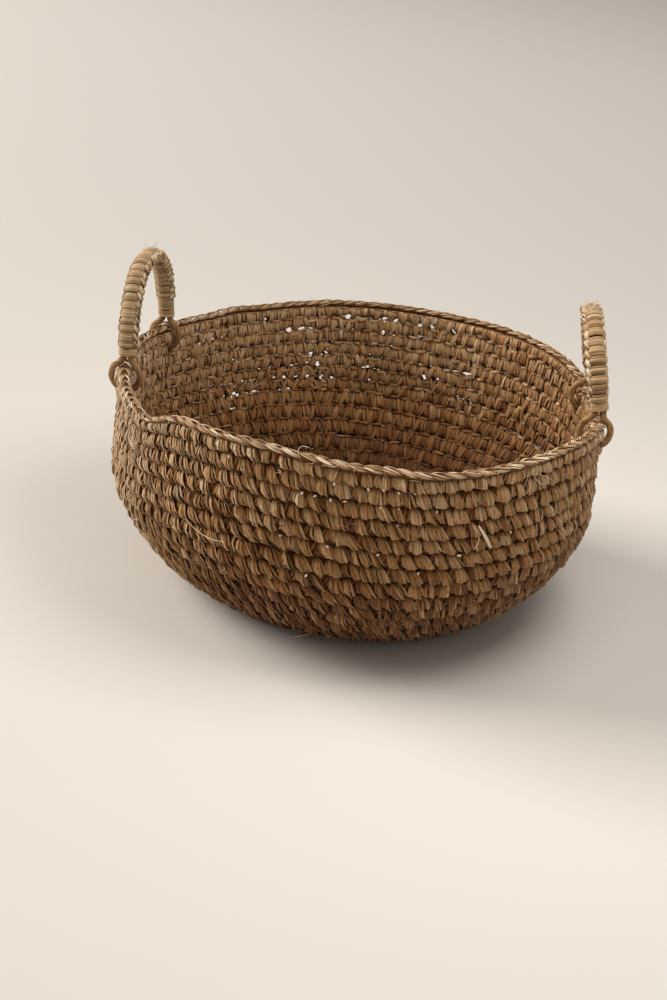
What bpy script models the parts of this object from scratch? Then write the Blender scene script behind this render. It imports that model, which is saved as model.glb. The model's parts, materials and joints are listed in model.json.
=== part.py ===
"""Crocheted raffia basket tray with two arched cord handles.

The basket is a flat base and a rounded wall, both made of crochet rounds, with a
slip-stitch edging on the rim. Each handle is one closed loop of cord. The loop makes an
eye at each foot, which goes round the top of the wall, and a crochet cover holds its two
strands together over the arch. Lengths are in metres, the base stands on z = 0 and +Z is up.
"""

import math

import bpy
import numpy as np
from mathutils import Matrix

# Sizes of the basket, all to the wall's outside
TOP_RADIUS = 0.1782
BELLY_BULGE = 0.0012
BELLY_HEIGHT = 0.0830
BASE_RADIUS = 0.1120
CORNER_FULLNESS = 1.417
RIM_HEIGHT = 0.1558
RIM_OFFSET = (-0.0024, -0.0036)
WALL_THICKNESS = 0.0086
GAP = 0.0003

# Hand-made waves round the rim: number of waves, size, bearing of the crest
HEIGHT_WAVES = (
    (1, 0.0079, math.radians(3.0)),
    (2, 0.0049, math.radians(97.0)),
    (4, 0.0034, math.radians(-25.0)),
    (5, 0.0025, math.radians(35.0)),
)
OUTLINE_WAVES = (
    (2, 0.0188, math.radians(89.0)),
    (3, 0.0123, math.radians(49.0)),
    (4, 0.0086, math.radians(-36.0)),
    (5, 0.0093, math.radians(34.0)),
)

# Crochet rounds, the top round and the edging on it
BASE_ROUNDS = 10
WALL_ROUNDS = 14
ROUND_LAP = 0.0008
ROUND_BEVEL = 0.0010
TOP_ROUND_HEIGHT = 0.0098
TOP_BEVEL = 0.0018
EDGING_HEIGHT = 0.0044
EDGING_WIDTH = 0.0060
EDGING_SET_OUT = 0.0011
EDGING_BEVEL = 0.0014
RING_SEGMENTS = 36

# Handles: where they stand, and how far the arch stands outside the hinge at its front and back leg
LEFT_BEARING = math.radians(173.8)
RIGHT_BEARING = math.radians(4.6)
FOOT_HALF_SPREAD = math.radians(15.0)
LEFT_LEAN = math.radians(-3.0)
RIGHT_LEAN = math.radians(11.5)
LEFT_SET_OUT = (-0.0010, -0.0010)
RIGHT_SET_OUT = (0.0025, 0.0055)
ARCH_HEIGHT = 0.0745
ARCH_SQUARENESS = 2.6
CORD_RADIUS = 0.0024
STRAND_GAP = 0.0005
EYE_CLEARANCE = 0.0006
EYE_TURN = math.radians(46.0)
NECK_LENGTH = 0.0043
BORE_CLEARANCE = 0.0005
NOTCH_CLEARANCE = 0.0007
BINDING_LENGTH = 0.0055
BINDING_THICKNESS = 0.0014
COVER_SIDE = 0.0020
COVER_FACE = 0.0033
ARCH_STATIONS = 19
EYE_STATIONS = 17
NECK_STATIONS = 4
CORD_SIDES = 8
SLEEVE_SIDES = 12

# Sizes that follow from those above
BAND_HEIGHT = TOP_ROUND_HEIGHT + GAP + EDGING_HEIGHT
EYE_RADIUS = math.hypot(0.5 * BAND_HEIGHT, 0.5 * WALL_THICKNESS - TOP_BEVEL) + EYE_CLEARANCE + CORD_RADIUS
NECK_HEIGHT = EYE_RADIUS + NECK_LENGTH
STRAND_OFFSET = CORD_RADIUS + 0.5 * STRAND_GAP
BORE_RADIUS = CORD_RADIUS + BORE_CLEARANCE
BINDING_HALF_DEPTH = BORE_RADIUS + BINDING_THICKNESS
BINDING_HALF_WIDTH = STRAND_OFFSET + BINDING_HALF_DEPTH
BINDING_START = NECK_HEIGHT + GAP
BINDING_END = BINDING_START + BINDING_LENGTH
COVER_START = BINDING_END + GAP
COVER_HALF_DEPTH = BORE_RADIUS + COVER_FACE
COVER_HALF_WIDTH = STRAND_OFFSET + BORE_RADIUS + COVER_SIDE

# Raffia colours, linear
COLOURS = {
    "raffia_base": (0.27, 0.17, 0.09, 1.0),
    "raffia_wall": (0.30, 0.19, 0.10, 1.0),
    "raffia_edging": (0.46, 0.32, 0.19, 1.0),
    "raffia_cover": (0.38, 0.26, 0.14, 1.0),
    "raffia_cord": (0.25, 0.15, 0.08, 1.0),
    "raffia_binding": (0.42, 0.29, 0.17, 1.0),
}


def clear_scene():
    """Remove the objects of the startup scene."""
    for item in list(bpy.data.objects):
        bpy.data.objects.remove(item)


def material(name):
    """Return the Principled material called name, made on first use."""
    found = bpy.data.materials.get(name)
    if found:
        return found
    made = bpy.data.materials.new(name)
    made.use_nodes = True
    shader = made.node_tree.nodes["Principled BSDF"]
    shader.inputs["Base Color"].default_value = COLOURS[name]
    shader.inputs["Roughness"].default_value = 0.8
    return made


def signed_volume(points, faces):
    """Return the signed volume of a closed mesh of triangles and quads."""
    total = 0.0
    for face in faces:
        a = points[face[0]]
        for i in range(1, len(face) - 1):
            total += float(np.dot(a, np.cross(points[face[i]], points[face[i + 1]])))
    return total / 6.0


def add_object(name, points, faces, slot=None, parent=None):
    """Add one closed mesh object, faces turned outward, and return it."""
    if signed_volume(points, faces) < 0.0:
        faces = [face[::-1] for face in faces]
    mesh = bpy.data.meshes.new(name)
    mesh.from_pydata([tuple(point) for point in points.tolist()], [], faces)
    mesh.update()
    item = bpy.data.objects.new(name, mesh)
    bpy.context.scene.collection.objects.link(item)
    item.parent = parent
    if slot:
        mesh.materials.append(material(slot))
        mesh.shade_smooth()
    return item


def wavy(angle, waves):
    """Return the sum of the cosine waves at an angle round the basket."""
    return sum(size * np.cos(count * (angle - crest)) for count, size, crest in waves)


def hand_made(radius, angle, height):
    """Return the points of the uneven, slightly leaning basket for round, even coordinates."""
    rise = height / RIM_HEIGHT
    uneven = radius * (1.0 + rise * wavy(angle, OUTLINE_WAVES))
    x = uneven * np.cos(angle) + rise * RIM_OFFSET[0]
    y = uneven * np.sin(angle) + rise * RIM_OFFSET[1]
    z = height + rise * wavy(angle, HEIGHT_WAVES)
    return np.stack(np.broadcast_arrays(x, y, z), axis=-1)


def wall_line():
    """Return arc length, points and outward directions of the wall's middle line."""
    belly_radius = TOP_RADIUS + BELLY_BULGE
    flat = np.stack([np.linspace(0.0, BASE_RADIUS, 15)[:-1], np.zeros(14)], axis=-1)
    turn = np.linspace(0.0, math.pi / 2, 41)
    power = 2.0 / CORNER_FULLNESS
    corner = np.stack(
        [
            BASE_RADIUS + (belly_radius - BASE_RADIUS) * np.sin(turn) ** power,
            BELLY_HEIGHT * (1.0 - np.cos(turn).clip(0.0) ** power),
        ],
        axis=-1,
    )
    top = RIM_HEIGHT - EDGING_HEIGHT - GAP
    upright = np.linspace((belly_radius, BELLY_HEIGHT), (TOP_RADIUS, top), 10)[1:]
    outside = np.concatenate([flat, corner, upright])
    along = np.gradient(outside, axis=0)
    along /= np.linalg.norm(along, axis=1)[:, None]
    outward = np.stack([along[:, 1], -along[:, 0]], axis=-1)
    middle = outside - 0.5 * WALL_THICKNESS * outward
    steps = np.linalg.norm(np.diff(middle, axis=0), axis=1)
    return np.concatenate([[0.0], np.cumsum(steps)]), middle, outward


def on_wall(line, distance, depth):
    """Return (radius, height) at a distance up the wall and a depth outside its middle."""
    lengths, middle, outward = line
    point = [np.interp(distance, lengths, middle[:, i]) for i in (0, 1)]
    normal = [np.interp(distance, lengths, outward[:, i]) for i in (0, 1)]
    size = np.hypot(*normal)
    return point[0] + depth * normal[0] / size, point[1] + depth * normal[1] / size


def spin(name, profile, slot):
    """Add a closed ring: the profile of (radius, height) points spun round the basket."""
    count = len(profile)
    angle = np.arange(RING_SEGMENTS) * (2.0 * math.pi / RING_SEGMENTS)
    radius = np.array([point[0] for point in profile])
    height = np.array([point[1] for point in profile])
    points = hand_made(radius[None, :], angle[:, None], height[None, :]).reshape(-1, 3)
    faces = []
    for i in range(RING_SEGMENTS):
        j = (i + 1) % RING_SEGMENTS
        for k in range(count):
            m = (k + 1) % count
            faces.append((i * count + k, j * count + k, j * count + m, i * count + m))
    return add_object(name, points, faces, slot)


def add_centre(edge):
    """Add the first round of the base, a disc closed at its centre."""
    angle = np.arange(RING_SEGMENTS) * (2.0 * math.pi / RING_SEGMENTS)
    height = np.array([0.0, WALL_THICKNESS])
    rings = hand_made(edge, angle[:, None], height[None, :])
    poles = hand_made(0.0, np.zeros(2), height)
    points = np.concatenate([rings.reshape(-1, 3), poles])
    bottom, top = len(points) - 2, len(points) - 1
    faces = []
    for i in range(RING_SEGMENTS):
        j = (i + 1) % RING_SEGMENTS
        faces += [(bottom, 2 * j, 2 * i), (2 * i, 2 * j, 2 * j + 1, 2 * i + 1), (top, 2 * i + 1, 2 * j + 1)]
    return add_object("base_centre", points, faces, "raffia_base")


def add_base_round(name, line, start, end):
    """Add one flat crochet round of the base."""
    half = 0.5 * WALL_THICKNESS
    start, end = start + 0.5 * GAP, end - 0.5 * GAP
    outline = [(start, -half), (end, -half), (end, half), (start, half)]
    return spin(name, [on_wall(line, s, depth) for s, depth in outline], "raffia_base")


def add_wall_round(name, line, start, end, lap, bevel):
    """Add one crochet round of the wall, proud of the round above it by the lap."""
    half = 0.5 * WALL_THICKNESS
    start, end = start + 0.5 * GAP, end - 0.5 * GAP
    outline = [
        (start, -half + bevel),
        (start + bevel, -half),
        (end, -half),
        (end, half - lap),
        (start + bevel, half),
        (start, half - bevel),
    ]
    return spin(name, [on_wall(line, s, depth) for s, depth in outline], "raffia_wall")


def add_rounds():
    """Add the base and wall rounds, and return the last of them, which takes the notches."""
    line = wall_line()
    full = float(line[0][-1])
    edges = np.linspace(0.0, full - TOP_ROUND_HEIGHT, BASE_ROUNDS + WALL_ROUNDS + 1)
    add_centre(float(edges[1]) - 0.5 * GAP)
    for i in range(1, BASE_ROUNDS):
        add_base_round(f"base_round_{i + 1:02d}", line, edges[i], edges[i + 1])
    for i in range(WALL_ROUNDS):
        start, end = edges[BASE_ROUNDS + i : BASE_ROUNDS + i + 2]
        notched = add_wall_round(f"wall_round_{i + 1:02d}", line, start, end, ROUND_LAP, ROUND_BEVEL)
    add_wall_round("wall_top_round", line, edges[-1], full, 0.0, TOP_BEVEL)
    return notched


def add_edging():
    """Add the slip-stitch edging that lies on the top round."""
    middle = TOP_RADIUS - 0.5 * WALL_THICKNESS + EDGING_SET_OUT
    inner, outer = middle - 0.5 * EDGING_WIDTH, middle + 0.5 * EDGING_WIDTH
    low, shoulder = RIM_HEIGHT - EDGING_HEIGHT, RIM_HEIGHT - EDGING_BEVEL
    profile = [
        (inner, low),
        (inner, shoulder),
        (inner + EDGING_BEVEL, RIM_HEIGHT),
        (outer - EDGING_BEVEL, RIM_HEIGHT),
        (outer, shoulder),
        (outer, low),
    ]
    spin("rim_edging", profile, "raffia_edging")


class HandleFrame:
    """Place of one handle: an empty on the hinge line, which runs through both eyes.

    Its X runs along the hinge line, Y outward from the basket and Z up the arch. The arch
    stands outside the hinge line by set_out at its front and its back leg. The front is the
    basket's -Y side, and front is the sign of X there.
    """

    def __init__(self, side, bearing, lean, set_out):
        angles = np.array([bearing - FOOT_HALF_SPREAD, bearing + FOOT_HALF_SPREAD])
        feet = hand_made(TOP_RADIUS - 0.5 * WALL_THICKNESS, angles, RIM_HEIGHT - 0.5 * BAND_HEIGHT)
        self.side = side
        self.set_out = set_out
        self.half_span = 0.5 * float(np.linalg.norm(feet[1] - feet[0]))
        along = (feet[0] - feet[1]) / (2.0 * self.half_span)
        outward = np.cross((0.0, 0.0, 1.0), along)
        outward /= np.linalg.norm(outward)
        upright = np.cross(along, outward)
        up = math.cos(lean) * upright - math.sin(lean) * outward
        axes = np.stack([along, np.cross(up, along), up], axis=-1)
        self.front = -math.copysign(1.0, along[1])
        self.hinge = bpy.data.objects.new(f"{side}_hinge", None)
        self.hinge.matrix_world = Matrix.Translation(feet.mean(axis=0)) @ Matrix(axes).to_4x4()
        bpy.context.scene.collection.objects.link(self.hinge)

    def offset(self, across):
        """Return how far the arch stands outside the hinge line, at places along that line."""
        at_front, at_back = self.set_out
        share = 0.5 - 0.5 * self.front * across / self.half_span
        return at_front + (at_back - at_front) * share


def arch_line(frame, start, stations):
    """Return points (along, up) of the arch's middle line, from start to start, evenly spaced."""
    turn = np.linspace(0.0, math.pi, 721)
    power = 2.0 / ARCH_SQUARENESS
    across = -frame.half_span * np.sign(np.cos(turn)) * np.abs(np.cos(turn)) ** power
    rise = ARCH_HEIGHT * np.sin(turn).clip(0.0) ** power
    lengths = np.concatenate([[0.0], np.cumsum(np.hypot(np.diff(across), np.diff(rise)))])
    first = float(np.interp(start, rise[:361], lengths[:361]))
    wanted = np.linspace(first, lengths[-1] - first, stations)
    return np.stack([np.interp(wanted, lengths, across), np.interp(wanted, lengths, rise)], axis=-1)


def neck_line(offset):
    """Return points (outward, up) from a strand at the offset down to the eye's circle."""
    t = np.linspace(0.0, 1.0, NECK_STATIONS + 2)[1:-1, None]
    pull = 0.0030
    begin = np.array([offset, NECK_HEIGHT])
    end = EYE_RADIUS * np.array([math.cos(EYE_TURN), math.sin(EYE_TURN)])
    first = begin - np.array([0.0, pull])
    second = end + pull * np.array([-math.sin(EYE_TURN), math.cos(EYE_TURN)])
    return (1 - t) ** 3 * begin + 3 * (1 - t) ** 2 * t * first + 3 * (1 - t) * t**2 * second + t**3 * end


def cord_path(frame):
    """Return the closed path of the handle's cord in the handle's own coordinates."""
    arch = arch_line(frame, NECK_HEIGHT, ARCH_STATIONS)
    turn = np.linspace(EYE_TURN, -math.pi - EYE_TURN, EYE_STATIONS)
    eye = EYE_RADIUS * np.stack([np.cos(turn), np.sin(turn)], axis=-1)
    feet = []
    for end in (1.0, -1.0):
        shift = float(frame.offset(end * frame.half_span))
        outer, inner = neck_line(shift + STRAND_OFFSET), neck_line(STRAND_OFFSET - shift)
        foot = np.concatenate([outer, eye, inner[::-1] * np.array([-1.0, 1.0])])
        lean_in = frame.half_span - abs(float(arch[0, 0]))
        side = frame.half_span - lean_in * np.clip(foot[:, 1] / NECK_HEIGHT, 0.0, 1.0) ** 2
        feet.append(np.stack([end * side, foot[:, 0], foot[:, 1]], axis=-1))
    shift = frame.offset(arch[:, 0])
    outer = np.stack([arch[:, 0], shift + STRAND_OFFSET, arch[:, 1]], axis=-1)
    inner = np.stack([arch[:, 0], shift - STRAND_OFFSET, arch[:, 1]], axis=-1)
    return np.concatenate([outer, feet[0], inner[::-1], feet[1][::-1]])


def turned_frames(path):
    """Return two directions square to a closed path that turn as little as possible."""
    tangent = np.roll(path, -1, axis=0) - np.roll(path, 1, axis=0)
    tangent /= np.linalg.norm(tangent, axis=1)[:, None]
    normal = np.zeros_like(path)
    current = np.array([0.0, 1.0, 0.0])
    for i, direction in enumerate(tangent):
        current = current - direction * np.dot(current, direction)
        current /= np.linalg.norm(current)
        normal[i] = current
    closing = current - tangent[0] * np.dot(current, tangent[0])
    side = np.cross(tangent[0], normal[0])
    twist = math.atan2(float(np.dot(closing, side)), float(np.dot(closing, normal[0])))
    back = -twist * np.arange(len(path)) / len(path)
    binormal = np.cross(tangent, normal)
    first = np.cos(back)[:, None] * normal + np.sin(back)[:, None] * binormal
    return first, np.cross(tangent, first)


def add_cord(frame):
    """Add the handle's closed cord loop."""
    path = cord_path(frame)
    first, second = turned_frames(path)
    angle = np.arange(CORD_SIDES) * (2.0 * math.pi / CORD_SIDES)
    ring = CORD_RADIUS * (
        np.cos(angle)[None, :, None] * first[:, None, :] + np.sin(angle)[None, :, None] * second[:, None, :]
    )
    points = (path[:, None, :] + ring).reshape(-1, 3)
    faces = []
    for i in range(len(path)):
        j = (i + 1) % len(path)
        for k in range(CORD_SIDES):
            m = (k + 1) % CORD_SIDES
            faces.append((i * CORD_SIDES + k, j * CORD_SIDES + k, j * CORD_SIDES + m, i * CORD_SIDES + m))
    return add_object(f"{frame.side}_handle_cord", points, faces, "raffia_cord", frame.hinge)


def add_sleeve(name, frame, line, half_width, half_depth, slot):
    """Add a sleeve round both strands: an oval outside and a slot-shaped bore."""
    along = np.gradient(line, axis=0)
    along /= np.linalg.norm(along, axis=1)[:, None]
    depthwise = np.stack([-along[:, 1], 0.0 * along[:, 0], along[:, 0]], axis=-1)
    middle = np.stack([line[:, 0], frame.offset(line[:, 0]), line[:, 1]], axis=-1)
    outward = np.array([0.0, 1.0, 0.0])
    angle = (np.arange(SLEEVE_SIDES) + 0.5) * (2.0 * math.pi / SLEEVE_SIDES)
    bore_out = BORE_RADIUS * np.cos(angle) + STRAND_OFFSET * np.sign(np.cos(angle))
    bore_depth = BORE_RADIUS * np.sin(angle)
    shapes = [(half_width * np.cos(angle), half_depth * np.sin(angle)), (bore_out, bore_depth)]
    skins = [
        middle[:, None, :] + out[None, :, None] * outward + depth[None, :, None] * depthwise[:, None, :]
        for out, depth in shapes
    ]
    points = np.concatenate(skins).reshape(-1, 3)
    count = len(line)
    inside = count * SLEEVE_SIDES
    faces = []
    for k in range(SLEEVE_SIDES):
        m = (k + 1) % SLEEVE_SIDES
        for i in range(count - 1):
            a, b = i * SLEEVE_SIDES, (i + 1) * SLEEVE_SIDES
            faces.append((a + k, b + k, b + m, a + m))
            faces.append((inside + a + m, inside + b + m, inside + b + k, inside + a + k))
        last = (count - 1) * SLEEVE_SIDES
        faces.append((k, m, inside + m, inside + k))
        faces.append((last + m, last + k, inside + last + k, inside + last + m))
    return add_object(name, points, faces, slot, frame.hinge)


def add_handle(frame):
    """Add one handle: its cord, its cover and the binding at each foot."""
    add_cord(frame)
    name = f"{frame.side}_handle_cover"
    cover = arch_line(frame, COVER_START, ARCH_STATIONS)
    add_sleeve(name, frame, cover, COVER_HALF_WIDTH, COVER_HALF_DEPTH, "raffia_cover")
    whole = arch_line(frame, NECK_HEIGHT, ARCH_STATIONS)
    heights = np.linspace(BINDING_START, BINDING_END, 3)
    leg = np.interp(heights, whole[:4, 1], whole[:4, 0])
    for place, sign in (("front", -frame.front), ("back", frame.front)):
        line = np.stack([sign * leg, heights], axis=-1)
        name = f"{frame.side}_binding_{place}"
        add_sleeve(name, frame, line, BINDING_HALF_WIDTH, BINDING_HALF_DEPTH, "raffia_binding")


def add_notches(target, frame):
    """Cut the openings under the top round that the eyes of one handle pass through."""
    reach = EYE_RADIUS + CORD_RADIUS + NOTCH_CLEARANCE
    size = np.array([CORD_RADIUS + NOTCH_CLEARANCE, 1.4 * WALL_THICKNESS, 0.5 * reach])
    corners = np.array([(x, y, z) for x in (-1, 1) for y in (-1, 1) for z in (-1, 1)], dtype=float)
    sides = ((0, 1, 3, 2), (4, 6, 7, 5), (0, 4, 5, 1), (2, 3, 7, 6), (0, 2, 6, 4), (1, 5, 7, 3))
    near_end, far_end = (np.array([end * frame.half_span, 0.0, -size[2]]) for end in (-1.0, 1.0))
    points = np.concatenate([near_end + corners * size, far_end + corners * size])
    faces = list(sides) + [tuple(8 + k for k in side) for side in sides]
    cutter = add_object(f"{frame.side}_notch_cutter", points, faces, parent=frame.hinge)
    cutter.hide_render = True
    cutter.display_type = "WIRE"
    cut = target.modifiers.new(f"{frame.side}_notches", "BOOLEAN")
    cut.operation = "DIFFERENCE"
    cut.solver = "EXACT"
    cut.object = cutter


def main():
    """Build the basket tray."""
    clear_scene()
    notched = add_rounds()
    add_edging()
    left = HandleFrame("left", LEFT_BEARING, LEFT_LEAN, LEFT_SET_OUT)
    right = HandleFrame("right", RIGHT_BEARING, RIGHT_LEAN, RIGHT_SET_OUT)
    for frame in (left, right):
        add_handle(frame)
        add_notches(notched, frame)


main()
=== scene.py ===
"""Looks of a crocheted raffia basket tray: its stitches, rim chain, handles, finishes and studio.

Everything woven is made of strands: flat profiles carried along paths, thousands at once as numpy
arrays. The basket's form bends them onto the uneven, hand-made shape. Sizes are in metres where
no other unit is given.
"""

import json
import logging
import math
from collections.abc import Iterable
from dataclasses import dataclass, field, replace
from enum import Enum

import bpy
import numpy as np
import numpy.typing as npt
from mathutils import Matrix, Vector


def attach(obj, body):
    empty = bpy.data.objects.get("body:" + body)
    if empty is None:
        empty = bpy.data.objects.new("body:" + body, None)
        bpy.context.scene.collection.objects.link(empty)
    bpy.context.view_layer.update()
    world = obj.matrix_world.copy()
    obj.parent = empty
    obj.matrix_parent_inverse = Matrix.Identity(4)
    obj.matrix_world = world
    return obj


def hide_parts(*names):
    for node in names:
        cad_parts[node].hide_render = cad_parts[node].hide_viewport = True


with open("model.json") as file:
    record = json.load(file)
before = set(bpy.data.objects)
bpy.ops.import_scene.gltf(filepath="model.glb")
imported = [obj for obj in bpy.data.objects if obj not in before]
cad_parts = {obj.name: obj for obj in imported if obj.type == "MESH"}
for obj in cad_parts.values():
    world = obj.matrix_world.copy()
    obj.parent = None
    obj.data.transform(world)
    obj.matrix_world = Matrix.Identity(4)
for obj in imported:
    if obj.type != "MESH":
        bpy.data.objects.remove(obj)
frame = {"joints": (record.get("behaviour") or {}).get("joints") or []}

Array = npt.NDArray[np.float64]
Waves = tuple[tuple[int, float, float], ...]
LOG = logging.getLogger("basket")


class Face(Enum):
    """The two faces of the crocheted wall, as the sign of the depth out of it."""

    OUTSIDE = 1.0
    INSIDE = -1.0


class Side(Enum):
    """The basket's two handles."""

    LEFT = "left"
    RIGHT = "right"


def smooth(share: Array) -> Array:
    """Return the share from 0 to 1 eased at both ends: 3 s squared less 2 s cubed."""
    held = np.clip(share, 0.0, 1.0)
    return held * held * (3.0 - 2.0 * held)


def half_circle(place_at: Array) -> Array:
    """Return the height of a half circle of radius 1 over a place, and 0 beyond it."""
    return np.sqrt((1.0 - place_at**2).clip(0.0))


def unit(vectors: Array) -> Array:
    """Return the vectors scaled to length one."""
    return vectors / np.linalg.norm(vectors, axis=-1, keepdims=True)


def grid(*parts: Array | float) -> Array:
    """Return the parts, broadcast to one shape, side by side along a new last axis."""
    return np.stack(np.broadcast_arrays(*parts), axis=-1)


def full_turn(count: int) -> Array:
    """Return evenly spaced angles round a full turn, from 0."""
    return np.arange(count) * (2.0 * math.pi / count)


def lengths_along(path: Array) -> Array:
    """Return how far each point of a path lies from the first, along the path."""
    steps = np.linalg.norm(np.diff(path, axis=-2), axis=-1)
    return np.concatenate([0.0 * steps[..., :1], np.cumsum(steps, axis=-1)], axis=-1)


def look_up(wanted: Array, known: Array, rows: Array) -> Array:
    """Return rows at the wanted places, interpolated between those at the known places."""
    return np.stack([np.interp(wanted, known, column) for column in rows.T], axis=-1)


def by_round(number: int, *pairs: tuple[int, float]) -> float:
    """Return a round's value, interpolated between pairs of a round's number and its value."""
    return float(np.interp(number, *zip(*pairs)))


def bells(angle: Array, centres: Iterable[float], spread: float) -> Array:
    """Return the sum of bell curves of a bearing in radians, centres and spread in degrees."""
    away = ((np.degrees(angle) - centre + 180.0) % 360.0 - 180.0 for centre in centres)
    return sum((np.exp(-((turn / spread) ** 2)) for turn in away), np.zeros_like(angle))


def drift(angle: Array, rng: np.random.Generator) -> Array:
    """Return a smooth random wave round the basket, mostly within one either way."""
    phases = rng.uniform(0.0, 2.0 * math.pi, 5)
    return np.cos(angle[..., None] * (2.0, 3.0, 5.0, 9.0, 14.0) + phases).sum(axis=-1) / 1.9


def bezier(controls: Array, stations: int) -> Array:
    """Return points of cubic Bezier curves: their four control points weighted by the cubic's terms."""
    t = np.linspace(0.0, 1.0, stations)
    return np.stack([(1 - t) ** 3, 3 * (1 - t) ** 2 * t, 3 * (1 - t) * t**2, t**3], axis=-1) @ controls


def square_to(tangent: Array, hint: Array) -> tuple[Array, Array]:
    """Return the hint's direction square to the tangent, and the one square to both."""
    side = unit(hint - np.sum(hint * tangent, axis=-1, keepdims=True) * tangent)
    return side, np.cross(tangent, side)


@dataclass(frozen=True)
class Strands:
    """A batch of strands with the same counts of stations and sides."""

    points: Array  # Places of the ring points, shaped (strands, stations, sides, 3).
    across: Array  # Distance across the strand, shaped (strands, stations, sides).
    along: Array  # Distance along the strand, shaped the same.
    tone: Array  # 0 for dark raffia to 1 for pale raffia, one for each strand.
    # The height sets the painted shade: low heights take the finish's deep colour.
    height: Array  # 0 deep in the weave to 1 on its surface, broadcast to the shape of across.
    closed: bool = False  # Whether the last station meets the first.

    def moved(self, points: Array) -> "Strands":
        """Return the strands at other points."""
        return replace(self, points=points)

    def toned(self, tone: Array, height: Array) -> "Strands":
        """Return the strands in other tones, held from 0 to 1, and at other heights."""
        return replace(self, tone=tone.clip(0.0, 1.0), height=height)


def closed_ring(points: Array, across: Array, along: Array, tone: float, height: Array) -> Strands:
    """Return one strand that closes on itself, from its points shaped (stations, sides, 3)."""
    across, along = (np.broadcast_to(part, points.shape[:2])[None] for part in (across, along))
    return Strands(points[None], across, along, np.array([tone]), height, closed=True)


def sweep(
    path: Array,
    hint: Array,
    width: Array,
    thickness: Array | float,
    roll: Array | float,
    sides: int = 6,
    blunt: float = 0.4,
) -> Strands:
    """Carry a flat profile along many paths at once.

    The tangent T is the path's gradient, the side S is the hint less its part along T, and the
    top U is T cross S. S and U turn about T by the roll. A ring point at the angle a is the
    path's point plus half the width times cos a along S and half the thickness times sin a
    along U, with the sizes of the cosine and sine raised to the bluntness.

    Args:
        path: Places of the stations, shaped (strands, stations, 3).
        hint: Rough direction of the width, broadcast to the path.
        width: Width at each station, broadcast to (strands, stations).
        thickness: Thickness at each station, broadcast the same way.
        roll: Turn about the tangent at each station in radians, broadcast the same way.
        sides: Even count of points round the profile.
        blunt: Power that turns the oval, 1, into a box, 0.

    Returns:
        The strands, with tone 0.5 and height 1.
    """
    side, top = square_to(unit(np.gradient(path, axis=1)), hint)
    wide, deep, turn = (np.broadcast_to(part, path.shape[:2])[..., None] for part in (width, thickness, roll))
    angle = full_turn(sides)
    cosine, sine = (np.sign(wave.round(6)) * np.abs(wave) ** blunt for wave in (np.cos(angle), np.sin(angle)))
    across = 0.5 * wide * cosine
    upright = 0.5 * deep * sine
    turned_side = (np.cos(turn) * side + np.sin(turn) * top)[:, :, None]
    turned_top = (np.cos(turn) * top - np.sin(turn) * side)[:, :, None]
    points = path[:, :, None] + across[..., None] * turned_side + upright[..., None] * turned_top
    along = np.broadcast_to(lengths_along(path)[..., None], across.shape)
    return Strands(points, across, along, np.full(len(path), 0.5), np.ones(1))


def fibres(path: Array, hint: Array, width: Array, thickest: float, tone: float) -> Strands:
    """Return strands of one tone, swept with four sides, no thicker than wide or than the thickest."""
    flat = sweep(path, hint, width, np.minimum(width, thickest), 0.0, sides=4, blunt=1.0)
    return flat.toned(np.full(len(path), tone), flat.height)


def linked(name: str, data: bpy.types.ID) -> bpy.types.Object:
    """Put new data into the scene as an object at the origin.

    Args:
        name: Name of the object.
        data: Its mesh, lamp or camera.

    Returns:
        The object.
    """
    made = bpy.data.objects.new(name, data)
    bpy.context.scene.collection.objects.link(made)
    return made


class Weave:
    """Collects batches of strands and turns them into one mesh object."""

    def __init__(self) -> None:
        """Start with no strands."""
        self._points: list[Array] = []
        self._faces: list[npt.NDArray[np.int64]] = []
        self._marks: list[Array] = []
        self._count = 0

    def add(self, strands: Strands, rng: np.random.Generator) -> None:
        """Add one batch of strands, each with its own stretch of the raffia pattern.

        The faces of a tube are the grid of its stations and sides. An open tube's two ends are
        fans of quads, turned outward.

        Args:
            strands: The batch.
            rng: Source of the pattern's offsets.
        """
        count, stations, sides = strands.across.shape
        index = np.arange(stations * sides).reshape(stations, sides)
        beyond = np.roll(index, -1, axis=0)
        here, ahead = (index, beyond) if strands.closed else (index[:-1], beyond[:-1])
        faces = [grid(here, np.roll(here, -1, axis=1), np.roll(ahead, -1, axis=1), ahead).reshape(-1, 4)]
        if not strands.closed:
            first = np.arange(0, sides - 2, 2)
            fan = grid(0 * first, first + 1, first + 2, first + 3)
            faces += [fan[:, ::-1], fan + (stations - 1) * sides]
        starts = self._count + index.size * np.arange(count)[:, None, None]
        self._faces.append((np.concatenate(faces) + starts).reshape(-1, 4))
        self._points.append(strands.points.reshape(-1, 3))
        shift = rng.uniform(0.0, 9.0, (2, count, 1, 1))
        places = strands.across + shift[0], strands.along + shift[1]
        self._marks.append(grid(*places, strands.tone[:, None, None], strands.height).reshape(-1, 4))
        self._count += index.size * count

    def make(self, name: str) -> bpy.types.Object:
        """Make the mesh object, with its strand UV map and its tone and height attributes.

        Args:
            name: Name of the object.

        Returns:
            The new object.
        """
        points, faces, marks = map(np.concatenate, (self._points, self._faces, self._marks))
        corners = faces.ravel()
        mesh = bpy.data.meshes.new(name)
        mesh.vertices.add(len(points))
        mesh.vertices.foreach_set("co", points.ravel())
        mesh.loops.add(len(corners))
        mesh.loops.foreach_set("vertex_index", corners)
        mesh.polygons.add(len(faces))
        mesh.polygons.foreach_set("loop_start", np.arange(0, len(corners), 4))
        mesh.update(calc_edges=True)
        mesh.shade_smooth()
        mesh.uv_layers.new(name="strand").data.foreach_set("uv", marks[corners, :2].ravel())
        for label, column in (("tone", 2), ("height", 3)):
            mesh.attributes.new(label, "FLOAT", "POINT").data.foreach_set("value", marks[:, column].copy())
        return linked(name, mesh)


Inputs = dict[str | int, float | tuple[float, ...] | bpy.types.NodeSocket]


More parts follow.
